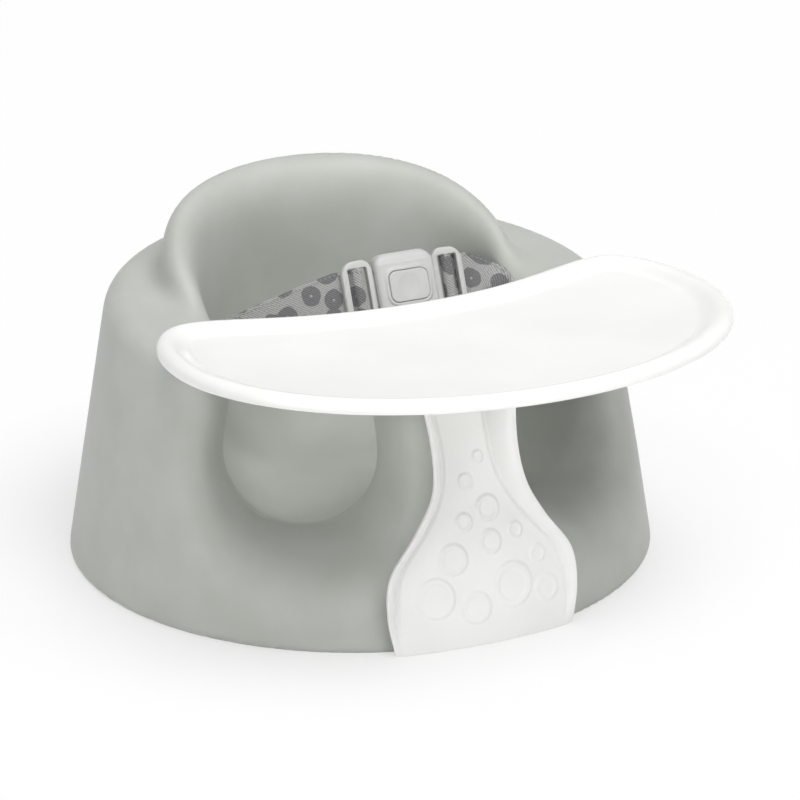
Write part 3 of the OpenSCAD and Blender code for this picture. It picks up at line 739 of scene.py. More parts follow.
class Finish(Enum):
    """The finishes that pieces are given."""

    FOAM = "foam"
    TRAY = "tray"
    STEM = "stem"
    BUCKLE = "buckle"
    BUTTON = "button"
    WEBBING = "webbing"
    NYLON = "nylon"
    STEEL = "steel"


class Finishes:
    """Makes each finish once and dresses pieces in it."""

    SLOTS = {Finish.BUTTON: "buckle"}

    def __init__(self) -> None:
        """Builds all the materials."""
        plastics = {
            Finish.TRAY: MouldedPlastic("gloss_white_plastic", "#f6f6f4", "#f2f2ef", 0.20, 0.8, 0.004),
            Finish.STEM: MouldedPlastic("satin_white_plastic", "#f7f7f5", "#f3f3f1", 0.30, 0.6, 0.012),
            Finish.BUCKLE: MouldedPlastic("grey_acetal", "#c5c5c3", "#bfbfbc", 0.40, 0.35, 0.018),
            Finish.BUTTON: MouldedPlastic("grey_acetal_button", "#c5c5c3", "#c0c0bd", 0.44, 0.30, 0.025),
            Finish.NYLON: MouldedPlastic("natural_nylon", "#a9aaa6", "#9fa09c", 0.45, 0.5, 0.02),
        }
        self.made = {finish: plastic.build() for finish, plastic in plastics.items()}
        self.made[Finish.FOAM] = FoamSkin().build()
        self.made[Finish.WEBBING] = Webbing().build()
        self.made[Finish.STEEL] = PlatedSteel().build()

    def dress(self, obj: Piece, finish: Finish) -> None:
        """Gives a piece or a frame node its finish."""
        obj.data.materials.clear()
        obj.data.materials.append(self.made[finish])


# ---------------- the belt's sizes
@dataclass(frozen=True)
class BeltSizes:
    """The belt's and buckle's sizes, in millimetres."""

    anchor: Pair = (22, 125)
    web_w: float = 31
    web_t: float = 1.4
    web_off: float = 2.6
    buckle: Triple = (32, 1, 167.6)
    lean: float = 66.5
    housing: Triple = (41, 46, 15)
    wall: float = 2
    frame_w: float = 22
    frame_t: float = 5
    frame_rail: float = 3.5
    frame_end: float = 5.05
    bar_d: float = 4.5
    bar_in: float = 0.3
    clear: float = 0.2
    button: Pair = (27, 20)

    @property
    def matrix(self) -> Matrix:
        """The buckle's place: its face looks along local +Z."""
        return Matrix.Translation(self.buckle) @ Matrix.Rotation(math.radians(self.lean), 4, "X")

    @property
    def frame_out(self) -> float:
        """The outer edge of a strap frame, from the housing's middle."""
        return self.housing[0] / 2 + self.frame_w

    @property
    def bar_x(self) -> float:
        """Where a strap frame's bar stands, from the housing's middle."""
        return self.housing[0] / 2 + self.frame_w / 2 - self.bar_in

    @property
    def under(self) -> float:
        """How far the webbing's middle lies behind a strap frame's middle."""
        return self.frame_t / 2 + self.web_t / 2 + self.clear

    @property
    def face(self) -> Rows:
        """The direction that the buckle's face looks."""
        a = math.radians(self.lean)
        return np.array([0, -math.sin(a), math.cos(a)])

    def at(self, x: float, y: float, z: float) -> Rows:
        """A place given in the buckle's own frame."""
        return np.array(self.matrix @ Vector((x, y, z)))


BELT = BeltSizes()


def anchor_rod(shape: Shape, side: int, radius: float, deep: float, out: float) -> Shape:
    """Adds a rod on an anchor's axis, from a depth in the foam to a distance in front of its wall."""
    mouth, inward = FOAM.wall(side, *BELT.anchor, 0)
    return shape.rod(radius, mouth + inward * deep, mouth - inward * out)


# ---------------- the tub
@dataclass
class Tub:
    """The foam tub."""

    voxel_mm: float = 3.4
    recess: Triple = (108, 40, 3.2)
    margins: Pair = (20, 2)
    bush: Pair = (6.05, 20.05)
    plug_h: float = 5
    plug_taper: float = 0.9967
    evening: tuple[float, ...] = (0.5, 0.5, 0.4)

    def build(self) -> Piece:
        """Makes the tub: the frame's solid, filled, remeshed fine and moved onto the exact form."""
        obj = node_copy("seat_body", "foam_tub")
        plugs, (width, deep) = Shape(), self.bush
        plug = {"radius1": 1, "radius2": self.plug_taper, "depth": self.plug_h}
        bmesh.ops.create_cone(plugs.bm, cap_ends=True, segments=96, **plug)
        plugs.warp(lambda p: p * [FOAM.base_r - 1, FOAM.front_r - 1, 1] + [0, 0, self.plug_h / 2])
        for side in (-1, 1):
            anchor_rod(plugs, side, width + 0.55, deep + 0.95, -0.8)
        annex(obj, plugs)
        mould(obj, self.voxel_mm)
        self.relax(obj.data)
        self.cut_recess(obj)
        smooth(obj, 50)
        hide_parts("seat_body")
        return obj

    def relax(self, mesh: bpy.types.Mesh) -> None:
        """Evens the points out and moves them onto the form."""
        every = {f"use_axis_{axis}": True for axis in "xyz"}
        with edited(mesh) as bm:
            for strength in self.evening:
                bmesh.ops.smooth_vert(bm, verts=bm.verts, factor=strength, **every)
                reshape(bm, lambda p: FOAM.settle(p / MM, 2) * MM)
            reshape(bm, lambda p: FOAM.settle(p / MM, 2) * MM)

    def cut_recess(self, obj: Piece) -> None:
        """Cuts the recess for the stem's lip and the pockets for the belt's bushes."""
        (width, depth, height), (ahead, below) = self.recess, self.margins
        size = (width, depth + 2 * ahead, height + 2 * below)
        middle = (0, depth / 2 - ahead - FOAM.front_r, height / 2 - below)
        cutter = Shape().block(size, middle, 3, 0.8)
        for side in (-1, 1):
            anchor_rod(cutter, side, *self.bush, 6)
        cut(obj, cutter)


# ---------------- the belt
@dataclass
class Strap:
    """One piece of webbing, from its anchor to its strap frame and back as a loose tail.

    It leaves the wall at a place given from the anchor: forward, up and off the wall. Its turns on the
    wall are given likewise. Its places in the air have their share of the way and where the face looks,
    and the bulge is how far it stands off the straight line halfway.
    """

    side: int
    tail: int
    name: str
    node: str
    turns: tuple[Triple, ...]
    leave: Triple
    bulge: Triple
    air: tuple[tuple[float, Triple], ...]
    samples: int = 8
    rise: Triple = (0, -0.42, 0.9)
    wall_steps: tuple[float, ...] = (-16, 0, 11, 17)
    screw_hole_r: float = 2.75
    edge_r: float = 0.45

    def on_wall(self, turn: Triple) -> tuple[Rows, Rows]:
        """A place on the wall, from the anchor, and the direction towards the foam."""
        forward, up, off = turn
        y, z = BELT.anchor
        return FOAM.wall(self.side, y - forward, z + up, BELT.web_off + off)

    def run(self) -> tuple[Rows, Rows]:
        """The route from the anchor up the wall and through the air: places, and the way the face looks."""
        start, inward = self.on_wall((0, 0, 0))
        rise = np.array(self.rise)
        rise = unit(rise - inward * (rise @ inward))
        on_wall = [(start + rise * d, inward) for d in self.wall_steps]
        on_wall += [self.on_wall(turn) for turn in self.turns]
        keys = [(place, -towards) for place, towards in on_wall]
        leave = self.on_wall(self.leave)[0]
        end = BELT.at(self.side * (BELT.frame_out + 3), 0, -BELT.under - 0.4)
        for f, face in self.air:
            bulge = np.array(self.bulge) * (4 * f * (1 - f)) ** 0.7
            keys.append((leave * (1 - f) + end * f + bulge, np.array(face)))
        keys.append((end, BELT.face))
        both = through(np.array([np.concatenate(k) for k in keys]), self.samples)
        return both[:, :3], both[:, 3:]

    def loop(self) -> tuple[Rows, Rows]:
        """The turn round the frame's bar, there and back.

        Returns:
            The places, and the way the face looks at each.
        """
        s, frame_out, under, bar_x = self.side, BELT.frame_out, BELT.under, BELT.bar_x
        r = BELT.bar_d / 2 + BELT.web_t / 2 + 0.15
        tail_under = under + BELT.web_t + 0.9
        # Each row: how far out and how high in the buckle's frame, and the face's direction there.
        rows = [(frame_out - 4, -under, 0, 1), (bar_x + r + 2.3, -under + 1, 0.5, 0.9)]
        for a in np.radians(np.arange(0, 226, 15)):
            rows.append((bar_x + r * math.cos(a), r * math.sin(a), math.cos(a), math.sin(a)))
        rows += [(bar_x - 1.3, -r - 1.3, -0.7, -0.7), (bar_x + 3, -tail_under, 0, -1)]
        rows.append((frame_out - 2, -tail_under - 0.2, 0, -1))
        places = np.array([BELT.at(s * x, 0, z) for x, z, _, _ in rows])
        faces = np.array([[s * fx, *(BELT.face[1:] * fz)] for _, _, fx, fz in rows])
        return places, faces

    def path(self) -> tuple[Rows, Rows]:
        """The whole route, evenly smooth."""
        run, run_face = self.run()
        loop, loop_face = self.loop()
        back = [len(run) - 1 - i * self.samples // 4 for i in range(1, self.tail + 1)]
        lift = np.array([BELT.web_t + 1 + i / 6 for i in range(1, self.tail + 1)])[:, None]
        tail, tail_face = run[back] - run_face[back] * lift, -run_face[back]
        rest = through(np.vstack([np.hstack([loop, loop_face]), np.hstack([tail, tail_face])]), 3)
        return np.vstack([run, rest[:, :3]]), np.vstack([run_face, rest[:, 3:]])

    def build(self) -> Piece:
        """Makes the webbing as a ribbon along its route, with its map in metres."""
        places, faces = self.path()
        along = evened(unit(np.gradient(places, axis=0)), 2)
        side = evened(unit(np.cross(faces, along)), 3)
        lengths = np.concatenate([[0], np.cumsum(np.linalg.norm(np.diff(places, axis=0), axis=1))])
        shape = lattice(len(places) - 1, 8)
        uv = shape.bm.loops.layers.uv["cloth"]
        n = len(places) - 1
        for f in shape.bm.faces:
            for loop in f.loops:
                u, v = loop[uv].uv
                loop[uv].uv = (np.interp(u * n, np.arange(n + 1), lengths) * MM, v * BELT.web_w * MM)

        def onto(p: Rows) -> Rows:
            """Lays the grid's points along the route."""
            i = np.clip(np.rint(p[:, 0] * n).astype(int), 0, n)
            return places[i] + side[i] * ((p[:, 1] - 0.5) * BELT.web_w)[:, None]

        obj = shape.warp(onto).done(self.name, 60)
        thick = obj.modifiers.new("thickness", "SOLIDIFY")
        thick.thickness, thick.offset, thick.use_even_offset = BELT.web_t * MM, 0, True
        ease_edges(obj, self.edge_r, 2)
        cut(obj, anchor_rod(Shape(), self.side, self.screw_hole_r, 1, 6))
        smooth(obj, 60)
        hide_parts(self.node)
        log.info("%s is %.0f mm long", self.name, lengths[-1])
        return obj


RIGHT_STRAP = Strap(
    1, 3, "belt_right", "strap_right",
    turns=((15, 22, 0), (23, 27.5, 1)), leave=(23, 27.5, 1), bulge=(2.3, -0.7, 1.9),
    air=((0.5, (0.3, -0.82, 0.45)),),
)
LEFT_STRAP = Strap(
    -1, 5, "belt_left", "strap_left",
    turns=(), leave=(11.5, 18, 5.4), bulge=(0, -4.2, 2.6),
    air=(
        (0, (-0.55, -0.75, 0.35)), (0.14, (-0.208, -0.92, 0.36)), (0.4, (-0.13, -0.92, 0.36)),
        (0.66, (-0.052, -0.92, 0.36)),
    ),
)


@dataclass
class Buckle:
    """The housing, its button and the two strap frames, drawn with the face looking along +Z."""

    corner: float = 8
    bezel_margin: Pair = (5, 5.5)
    bezel_h: float = 1.2
    proud: float = 0.5
    past: float = 3
    face_edge: float = 3.2
    back_edge: float = 2.6
    room_edge: float = 1.2
    bezel_thick: float = 5
    bezel_edge: float = 1.0
    dish_r: float = 45
    dish_deep: float = 0.7
    blade: Pair = (21, 3)
    blade_end: float = 5.3
    catch_x: float = 11
    play: float = 0.3
    button_corner: float = 5
    collar: Pair = (1.8, 1.2)
    button_leg: Pair = (4, 3)
    leg_in: float = 2.5
    leg_foot: float = -2.1
    peg_r: float = 2
    catch_r: float = 2.2
    rails: Pair = (4.0, 4.4)
    window_play: float = 0.9
    window_corner: float = 1.2
    frame_gap: float = 0.3
    frame_corner: float = 7.5
    frame_edge: float = 1.5
    bowed: float = 0.075
    shelves: tuple[Triple, ...] = ((15.4, 18, 1.5), (17, 23, 1.0))
    slope_in: float = 0.10
    slope_middle: float = 0.42
    coil_r: float = 3
    wire_r: float = 0.35
    turns: float = 5
    spring_z: Pair = (-5.05, 3.75)
    skin_mm: float = 0.42
    button_skin_mm: float = 0.3
    frame_skin_mm: float = 0.36
    soften: int = 3

    def bow(self, p: Rows) -> Rows:
        """Draws the housing's upper and lower corners in, so that its ends are bowed."""
        q = p.copy()
        q[:, 1] *= 1 - self.bowed * (p[:, 0] / BELT.housing[0] * 2) ** 2
        return q

    def shelve(self, p: Rows) -> Rows:
        """Lets the face fall away in a soft shelf near its upper and lower end."""
        q = p.copy()
        fall = sum(ease(start, end, np.abs(p[:, 1])) * drop for start, end, drop in self.shelves)
        q[:, 2] -= fall * ease(1.0, 5.5, p[:, 2])
        return q

    def ways(self, low: float, high: float) -> Shape:
        """The slots that the blades go through."""
        shape = Shape()
        for s in (-1, 1):
            middle = (s * BELT.housing[0] / 2, 0, (low + high) / 2)
            shape.block((4 * BELT.wall, self.blade[0] + 2 * self.play, high - low), middle)
        return shape

    def hollow(self, size: float, centre: float) -> Shape:
        """The space inside the housing."""
        w, l, _ = BELT.housing
        room = (w - 2 * BELT.wall, l - 2 * BELT.wall, size)
        inside = Shape().block(room, (0, 0, centre), self.corner - BELT.wall, self.room_edge, 8, 3)
        return inside.warp(self.bow)

    @staticmethod
    def half(side: int) -> Shape:
        """A block over the housing's front half (1) or its rear half (-1)."""
        w, l, _ = BELT.housing
        return Shape().block((w + 9, l + 9, 12), (0, 0, 6 * side))

    def front_shell(self) -> Piece:
        """The face half, with the raised frame round the button."""
        w, l, t = BELT.housing
        bw, bl = BELT.button
        size, middle = (w, l, t / 2 + self.past), (0, 0, (t / 2 - self.past) / 2)
        shell = Shape().block(size, middle, self.corner, self.face_edge, 10, 6, False)
        shell = shell.warp(self.bow).done("buckle_face")
        size = (bw + self.bezel_margin[0], bl + self.bezel_margin[1], self.bezel_thick)
        middle = (0, 0, t / 2 + self.bezel_h - self.bezel_thick / 2)
        join(shell, Shape().block(size, middle, self.corner, self.bezel_edge, 10, 4, False))
        cut(shell, self.hollow(t, -BELT.wall))
        size = (bw + 2 * self.play, bl + 2 * self.play, t)
        cut(shell, Shape().block(size, (0, 0, t / 2 + 2), self.button_corner + self.play, 0, 10))
        cut(shell, self.half(-1))
        cut(shell, self.ways(-t, self.blade[1] / 2 + self.play))
        mould(shell, self.skin_mm, self.soften)
        return self.finish(shell, "buckle_front_shell", self.shelve)

    def back_shell(self) -> Piece:
        """The rear half, with the peg for the right frame."""
        w, l, t = BELT.housing
        size, middle = (w, l, t / 2 + self.past), (0, 0, (self.past - t / 2) / 2)
        shell = Shape().block(size, middle, self.corner, self.back_edge, 10, 5)
        shell = shell.warp(self.bow).done("buckle_back")
        cut(shell, self.hollow(t, BELT.wall))
        cut(shell, self.half(1))
        cut(shell, self.ways(-self.blade[1] / 2 - self.play, t))
        join(shell, Shape().rod(self.peg_r, (self.catch_x, 0, 1 - t / 2), (self.catch_x, 0, 1.3), 24, 0.3))
        mould(shell, self.skin_mm, self.soften)
        return self.finish(shell, "buckle_back_shell")

    def button(self) -> Piece:
        """The release button with its thumb dish, its collar and its two legs."""
        t = BELT.housing[2]
        bw, bl = BELT.button
        over, thick = self.collar
        across, along = self.button_leg
        top, collar = t / 2 + self.bezel_h + self.proud, t / 2 - BELT.wall - 0.1
        foot = collar - thick
        middle = (0, 0, (top + foot) / 2)
        button = Shape().block((bw, bl, top - foot), middle, self.button_corner, 0, 12).done("button")
        dish = Shape()
        bmesh.ops.create_uvsphere(dish.bm, u_segments=192, v_segments=384, radius=self.dish_r)
        bmesh.ops.translate(dish.bm, vec=(0, 0, top + self.dish_r - self.dish_deep), verts=dish.bm.verts)
        cut(button, dish)
        size = (bw + 2 * over, bl + 2 * over, thick)
        lower = Shape().block(size, (0, 0, collar - thick / 2), self.button_corner, 0.2, 8, 1)
        for s in (-1, 1):
            middle = (0, s * (bl / 2 - self.leg_in), (foot + self.leg_foot) / 2)
            lower.block((across, along, foot - self.leg_foot), middle, 0.5, 0, 3)
        join(button, lower)
        mould(button, self.button_skin_mm, self.soften)
        return self.finish(button, "release_button")

    def spring(self) -> Piece:
        """The steel coil behind the button, a ring of wire spun up the housing's depth."""
        steps = round(self.turns * 24)
        rise = (self.spring_z[1] - self.spring_z[0]) / steps
        shape = Shape()
        bmesh.ops.create_circle(shape.bm, segments=12, radius=self.wire_r, cap_ends=False)
        place = Matrix.Translation((self.coil_r, 0, self.spring_z[0])) @ Matrix.Rotation(math.pi / 2, 4, "X")
        bmesh.ops.transform(shape.bm, matrix=place, verts=shape.bm.verts)
        ring = [*shape.bm.verts, *shape.bm.edges]
        turn, up = 2 * math.pi * self.turns, (0, 0, rise)
        bmesh.ops.spin(shape.bm, geom=ring, axis=(0, 0, 1), dvec=up, angle=turn, steps=steps)
        ends = [e for e in shape.bm.edges if e.is_boundary]
        bmesh.ops.holes_fill(shape.bm, edges=ends, sides=0)
        return self.finish(shape.outward().done("release_spring"), "button_spring")

    def strap_frame(self, side: int, name: str, node: str) -> Piece:
        """A frame that the webbing goes round, with its bar and its blade."""
        half = BELT.housing[0] / 2
        outer_rail, inner_rail = self.rails
        window = (BELT.frame_w - outer_rail - inner_rail, BELT.web_w + self.window_play)
        mid = half + inner_rail + window[0] / 2
        length = window[1] + 2 * BELT.frame_end
        size = (BELT.frame_w - self.frame_gap, length, BELT.frame_t)
        middle = (half + (BELT.frame_w + self.frame_gap) / 2, 0, 0)
        shape = Shape().block(size, middle, self.frame_corner, self.frame_edge, 12, 4)
        shape.warp(lambda p: self.shoulder(p, half))
        ring = shape.done(name)
        cut(ring, Shape().block((*window, 9), (mid, 0, 0), self.window_corner, 0, 4))
        bar_x, end = BELT.bar_x, window[1] / 2 + 1
        join(ring, Shape().rod(BELT.bar_d / 2, (bar_x, -end, 0), (bar_x, end, 0)))
        reach = half + BELT.frame_rail - self.blade_end
        middle = (self.blade_end + reach / 2, 0, 0)
        blade = Shape().block((reach, *self.blade), middle, 1, 0.4, 4, 2).done("blade")
        cut(blade, Shape().rod(self.catch_r, (self.catch_x, 0, -3), (self.catch_x, 0, 3), 24))
        join(ring, blade)
        mould(ring, self.frame_skin_mm, self.soften)
        return self.finish(ring, node, lambda p: p * [side, 1, 1])

    def shoulder(self, p: Rows, half: float) -> Rows:
        """Slopes the frame's ends down towards its outer rail."""
        q = p.copy()
        out = np.clip((p[:, 0] - half) / BELT.frame_w, 0, 1)
        away = np.abs(out - self.slope_middle) / (1 - self.slope_middle)
        q[:, 1] *= 1 - self.slope_in * away**2
        return q

    @staticmethod
    def finish(obj: Piece, node: str, shape: Way | None = None) -> Piece:
        """Moves a piece from the buckle's own frame to its place.

        Args:
            obj: The piece.
            node: The node that it stands in for.
            shape: A rule in millimetres that bends the piece first.

        Returns:
            The same piece.
        """
        bm = in_mm(obj.data)
        if shape:
            reshape(bm, shape)
            bmesh.ops.recalc_face_normals(bm, faces=bm.faces)
        bmesh.ops.transform(bm, matrix=Matrix.Scale(MM, 4) @ BELT.matrix, verts=bm.verts)
        bm.to_mesh(obj.data)
        bm.free()
        smooth(obj, 60)
        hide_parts(node)
        return obj


# ---------------- the tray
@dataclass
class Tray:
    """The tray's plate and the stem that carries it, in millimetres."""

    half_w: float = 181
    front_y: float = -284
    rear_y: float = -82
    lobe_y: float = -48.5
    wide_y: float = -128
    lobe_in: float = 39
    pulls: tuple[float, float, float, float] = (40, 25, 30, 80)
    height: float = FOAM.shoulder_h + 6.65
    tilt: float = 3.65
    wall: float = 2.6
    crest: float = 6
    rim_w: float = 23
    crest_in: float = 6.5
    floor_h: float = 1
    edge_drop: float = 2
    boss_h: float = 8
    boss_r: float = 4
    bore_r: float = 1.65
    hole_r: float = 2.1
    boss_at: Triple = (22, 5.5, -6)
    head_back: float = 12
    head_gap: float = 0.3
    collar_wall: float = 2.4
    head: Triple = (78, 34, 3)
    stem_wall: float = 3
    stem_gap: float = 0.6
    flange_w: float = 11
    gutter: float = 0.9
    crease: float = 0.2
    sheet_grid: tuple[int, int] = (144, 210)
    bubble_h: Pair = (0.5, 0.4)
    inner_ring: float = 0.70
    lip: Triple = (100, 36, 2.4)
    lip_h: float = 0.4
    saddle: Pair = (44, 40)
    plan_r: float = 300
    turn_z: float = 130
    edge_rows: tuple[Triple, ...] = (
        (0.4, 61, 3.4), (25, 65, 5.5), (50, 62, 8.5), (75, 44.5, 10), (98, 32, 11.5), (122, 28.7, 18),
        (150, 31, 26),
    )
    bubbles: tuple[Triple, ...] = (
        (-33, 33, 12.5), (-7, 24, 10), (19, 34, 14), (43, 27, 8.5), (39, 49, 5.5), (-19, 55, 9.5),
        (7, 62, 7.5), (25, 66, 5), (-9, 76, 5.5), (8, 82, 8), (-4, 99, 5), (7, 112, 3.6),
    )

    @property
    def matrix(self) -> Matrix:
        """The tilted plate's place."""
        return Matrix.Translation((0, 0, self.height)) @ Matrix.Rotation(math.radians(-self.tilt), 4, "X")

    @property
    def under(self) -> float:
        """The underside of the tray's floor, in its own frame."""
        return self.floor_h - self.wall

    @property
    def head_y(self) -> float:
        """The middle of the stem's head, front to back."""
        return self.panel_y(self.height) - self.head_back

    def panel_y(self, z: float) -> float:
        """The front of the stem's panel at a height."""
        nose = FOAM.nose_y(min(z, self.turn_z)) + FOAM.nose_lean * max(0, z - self.turn_z)
        return nose - self.stem_gap - self.stem_wall

    def outline(self) -> list[Pair]:
        """The plate's kidney-shaped edge, anticlockwise from the front middle.

        Returns:
            Places on the edge: an oval front, and curves that the pulls shape round the lobes.
        """
        angles = np.radians(np.arange(0, 90, 2.5))
        reach = self.wide_y - self.front_y
        half = [(self.half_w * math.sin(a), self.wide_y - reach * math.cos(a)) for a in angles]
        w, wide, low, rear = self.half_w, self.wide_y, self.lobe_y, self.rear_y
        lobe, (at_side, outer, inner, at_rear) = w - self.lobe_in, self.pulls
        arcs = (
            ((w, wide), (w, wide + at_side), (lobe + outer, low), (lobe, low), 24),
            ((lobe, low), (lobe - inner, low), (at_rear, rear), (0, rear), 36),
        )
        for *corners, steps in arcs:
            a, b, c, d = np.array(corners, float)
            for t in np.arange(steps) / steps:
                u = 1 - t
                half.append(tuple(a * u**3 + 3 * b * t * u**2 + 3 * c * t**2 * u + d * t**3))
        half.append((0.0, self.rear_y))
        return half + [(-x, y) for x, y in half[-2:0:-1]]

    def rim_up(self, inset: float, low: float, high: float, start: float) -> float:
        """The rim's height at an inset from the edge: a quarter oval up to the crest, then an easy fall."""
        if inset < self.crest_in:
            out = (self.crest_in - inset) / (self.crest_in - start)
            return low + (high - low) * math.sqrt(max(0, 1 - out**2))
        return low + (high - low) * float(ease(self.rim_w - start, self.crest_in, np.array(inset)))

    def section(self) -> Rows:
        """The rim's section, from the floor's underside round the edge to the floor: inset and height."""
        lip, foot = self.wall - 0.4, self.floor_h - self.edge_drop
        under = [20, 18.8, 17.5, 16, 14.5, 13, 11.5, 10, 8.5, 7.4, 6.5, 5.6, 4.8, 4, 3.4, 2.9, 2.6, 2.45]
        over = [0.04, 0.15, 0.35, 0.7, 1.2, 1.8, 2.6, 3.5, 4.5, 5.5, 6.5, 7.6, 8.8, 10]
        over += [11.4, 12.8, 14.2, 15.6, 17, 18.4, 19.8, 21, 22]
        rows = [(d, self.rim_up(d, self.under, self.under + self.crest, lip)) for d in under]
        rows += [(lip + 0.02, foot + 0.3), (lip - 0.08, foot + 0.07), (lip - 0.3, foot)]
        rows += [(0.35, foot), (0.1, foot + 0.07), (0, foot + 0.3), (0, self.floor_h - 0.6)]
        rows += [(d, self.rim_up(d, self.floor_h, self.floor_h + self.crest, 0)) for d in over]
        return np.array(rows)

    def plate(self) -> Piece:
        """The plate: the rim's section carried round the outline, with a flat floor above and below."""
        edge = np.array(self.outline())
        along = unit(np.roll(edge, -1, 0) - np.roll(edge, 1, 0))
        inward = np.stack([-along[:, 1], along[:, 0]], -1)
        rows, n = self.section(), len(edge)

        def onto(p: Rows) -> Rows:
            """Carries the grid's points round the outline."""
            i = np.rint(p[:, 0] * (len(rows) - 1)).astype(int)
            k = np.rint(p[:, 1] * n).astype(int) % n
            return np.column_stack([edge[k] + inward[k] * rows[i, :1], rows[i, 1]])

        shape = lattice(len(rows) - 1, n).warp(onto)
        bmesh.ops.remove_doubles(shape.bm, verts=shape.bm.verts, dist=1e-4)
        rims = [e for e in shape.bm.edges if e.is_boundary]
        bmesh.ops.holes_fill(shape.bm, edges=rims, sides=0)
        shape.outward()
        self.socket(shape)
        obj = shape.place(self.matrix).done("tray_plate", 40)
        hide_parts("tray_top")
        return obj

    def bosses(self) -> list[Pair]:
        """Where the four screws go, in the tray's own frame."""
        across, along, middle = self.boss_at
        return [(x * across, self.head_y + middle + y * along) for x in (-1, 1) for y in (-1, 1)]

    def pegs(self, radius: float, low: float, high: float, sides: int, edge: float = 0) -> Shape:
        """A rod at each screw's place, from low to high."""
        shape = Shape()
        for x, y in self.bosses():
            shape.rod(radius, (x, y, low), (x, y, high), sides, edge)
        return shape

    def socket(self, shape: Shape) -> None:
        """Adds the collar round the stem's head, and the four bored bosses."""
        w, l, t = self.head
        low, high = self.under - self.boss_h - t / 2, self.under + 0.5
        middle = (0, self.head_y, (high + low) / 2)
        gap, wall = 2 * self.head_gap, 2 * self.collar_wall
        ring = Shape().block((w + gap + wall, l + gap + wall, high - low), middle, 6, 0.4, 8, 2).done("ring")
        cut(ring, Shape().block((w + gap, l + gap, 40), (0, self.head_y, low), 4, 0, 8))
        foot = self.under - self.boss_h
        posts = self.pegs(self.boss_r, foot, high, 32, 0.3).done("posts")
        cut(posts, self.pegs(self.bore_r, foot - 1, self.under - 0.2, 24))
        shape.absorb(ring).absorb(posts)

    def sheet(self) -> Shape:
        """The stem's bent sheet, a grid moved onto the panel and its flanges, with bubbles raised on it."""
        stem_top = (self.matrix @ Vector((0, self.head_y, self.under - self.boss_h - self.head[2] / 2))).z
        rows = np.array([*self.edge_rows, (stem_top, 35.5, 34)])
        edge = through(rows, 40)
        across, up = self.sheet_grid
        heights = np.linspace(self.lip_h, stem_top, up + 1)
        width, reach = (np.interp(heights, edge[:, 0], edge[:, k]) for k in (1, 2))
        middle = np.array([self.panel_y(z) for z in heights])

        def onto(p: Rows) -> Rows:
            """Moves the grid's points onto the panel, its flanges and its bubbles."""
            i = np.clip(np.rint(p[:, 1] * up).astype(int), 0, up)
            w, m, tip, z = width[i], middle[i], reach[i] - FOAM.front_r, heights[i]
            x = (2 * p[:, 0] - 1) * w
            flange = self.flange_w * (0.45 + 0.55 * ease(10, 95, z))
            curl = 1 - np.clip((w - np.abs(x)) / flange, 0, 2) ** 2
            rise = mix_max(np.zeros_like(curl), curl, self.crease)
            y = m + x * x / 2 / self.plan_r + (tip - m - w * w / 2 / self.plan_r) * rise
            foot = np.abs(w - np.abs(x) - flange - 1)
            y += self.gutter * (1 - ease(0.2, 2.6, foot)) * ease(2, 14, z)
            for bx, bz, r in self.bubbles:
                d = np.hypot(x - bx, z - bz)
                body = 1 - ease(r - 0.7, r + 0.3, d)
                ring = ease(r * self.inner_ring - 0.5, r * self.inner_ring + 0.3, d)
                y -= body * (self.bubble_h[0] + self.bubble_h[1] * ring)
            return np.stack([x, y, z], -1)

        return lattice(across, up).warp(onto)

    def lip_plate(self) -> Shape:
        """The lip under the base, its front following the curve of the panel."""
        width, length, thick = self.lip
        foot, back = self.panel_y(self.lip_h) + 1.6, -FOAM.front_r + length
        middle = (0, (foot + back) / 2, self.lip_h + thick / 2)
        shape = Shape().block((width, back - foot, thick), middle, 3, 0.5, 5, 2)
        for x in np.linspace(-0.46, 0.46, 19) * width:
            parts = [*shape.bm.verts, *shape.bm.edges, *shape.bm.faces]
            bmesh.ops.bisect_plane(shape.bm, geom=parts, plane_co=(x, 0, 0), plane_no=(1, 0, 0))
        return shape.warp(lambda p: p + np.outer(p[:, 0] ** 2 / 2 / self.plan_r, (0, 1, 0)))

    def stem(self) -> Piece:
        """The stem: its sheet with thickness, the lip, the saddle on the pommel and the head."""
        obj = self.sheet().done("stem_sheet", 60)
        thick = obj.modifiers.new("thickness", "SOLIDIFY")
        thick.thickness, thick.offset = self.stem_wall * MM, -1
        ease_edges(obj, 0.9, 3)
        extra = self.lip_plate()
        sw, sl = self.saddle
        low = FOAM.pommel_top() + 0.5
        front = self.panel_y(low) + self.stem_wall / 2
        extra.block((sw, sl, self.stem_wall), (0, front + sl / 2, low + self.stem_wall / 2), 4, 0.6, 6, 2)
        middle = (0, self.head_y, self.under - self.boss_h - self.head[2] / 2)
        head = Shape().block(self.head, middle, 4, 0.4, 8, 2).done("head")
        cut(head, self.pegs(self.hole_r, self.under - 20, self.under, 24))
        annex(obj, extra.take(Shape().absorb(head).place(self.matrix).bm))
        smooth(obj, 40)
        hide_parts("tray_stem")
        return obj


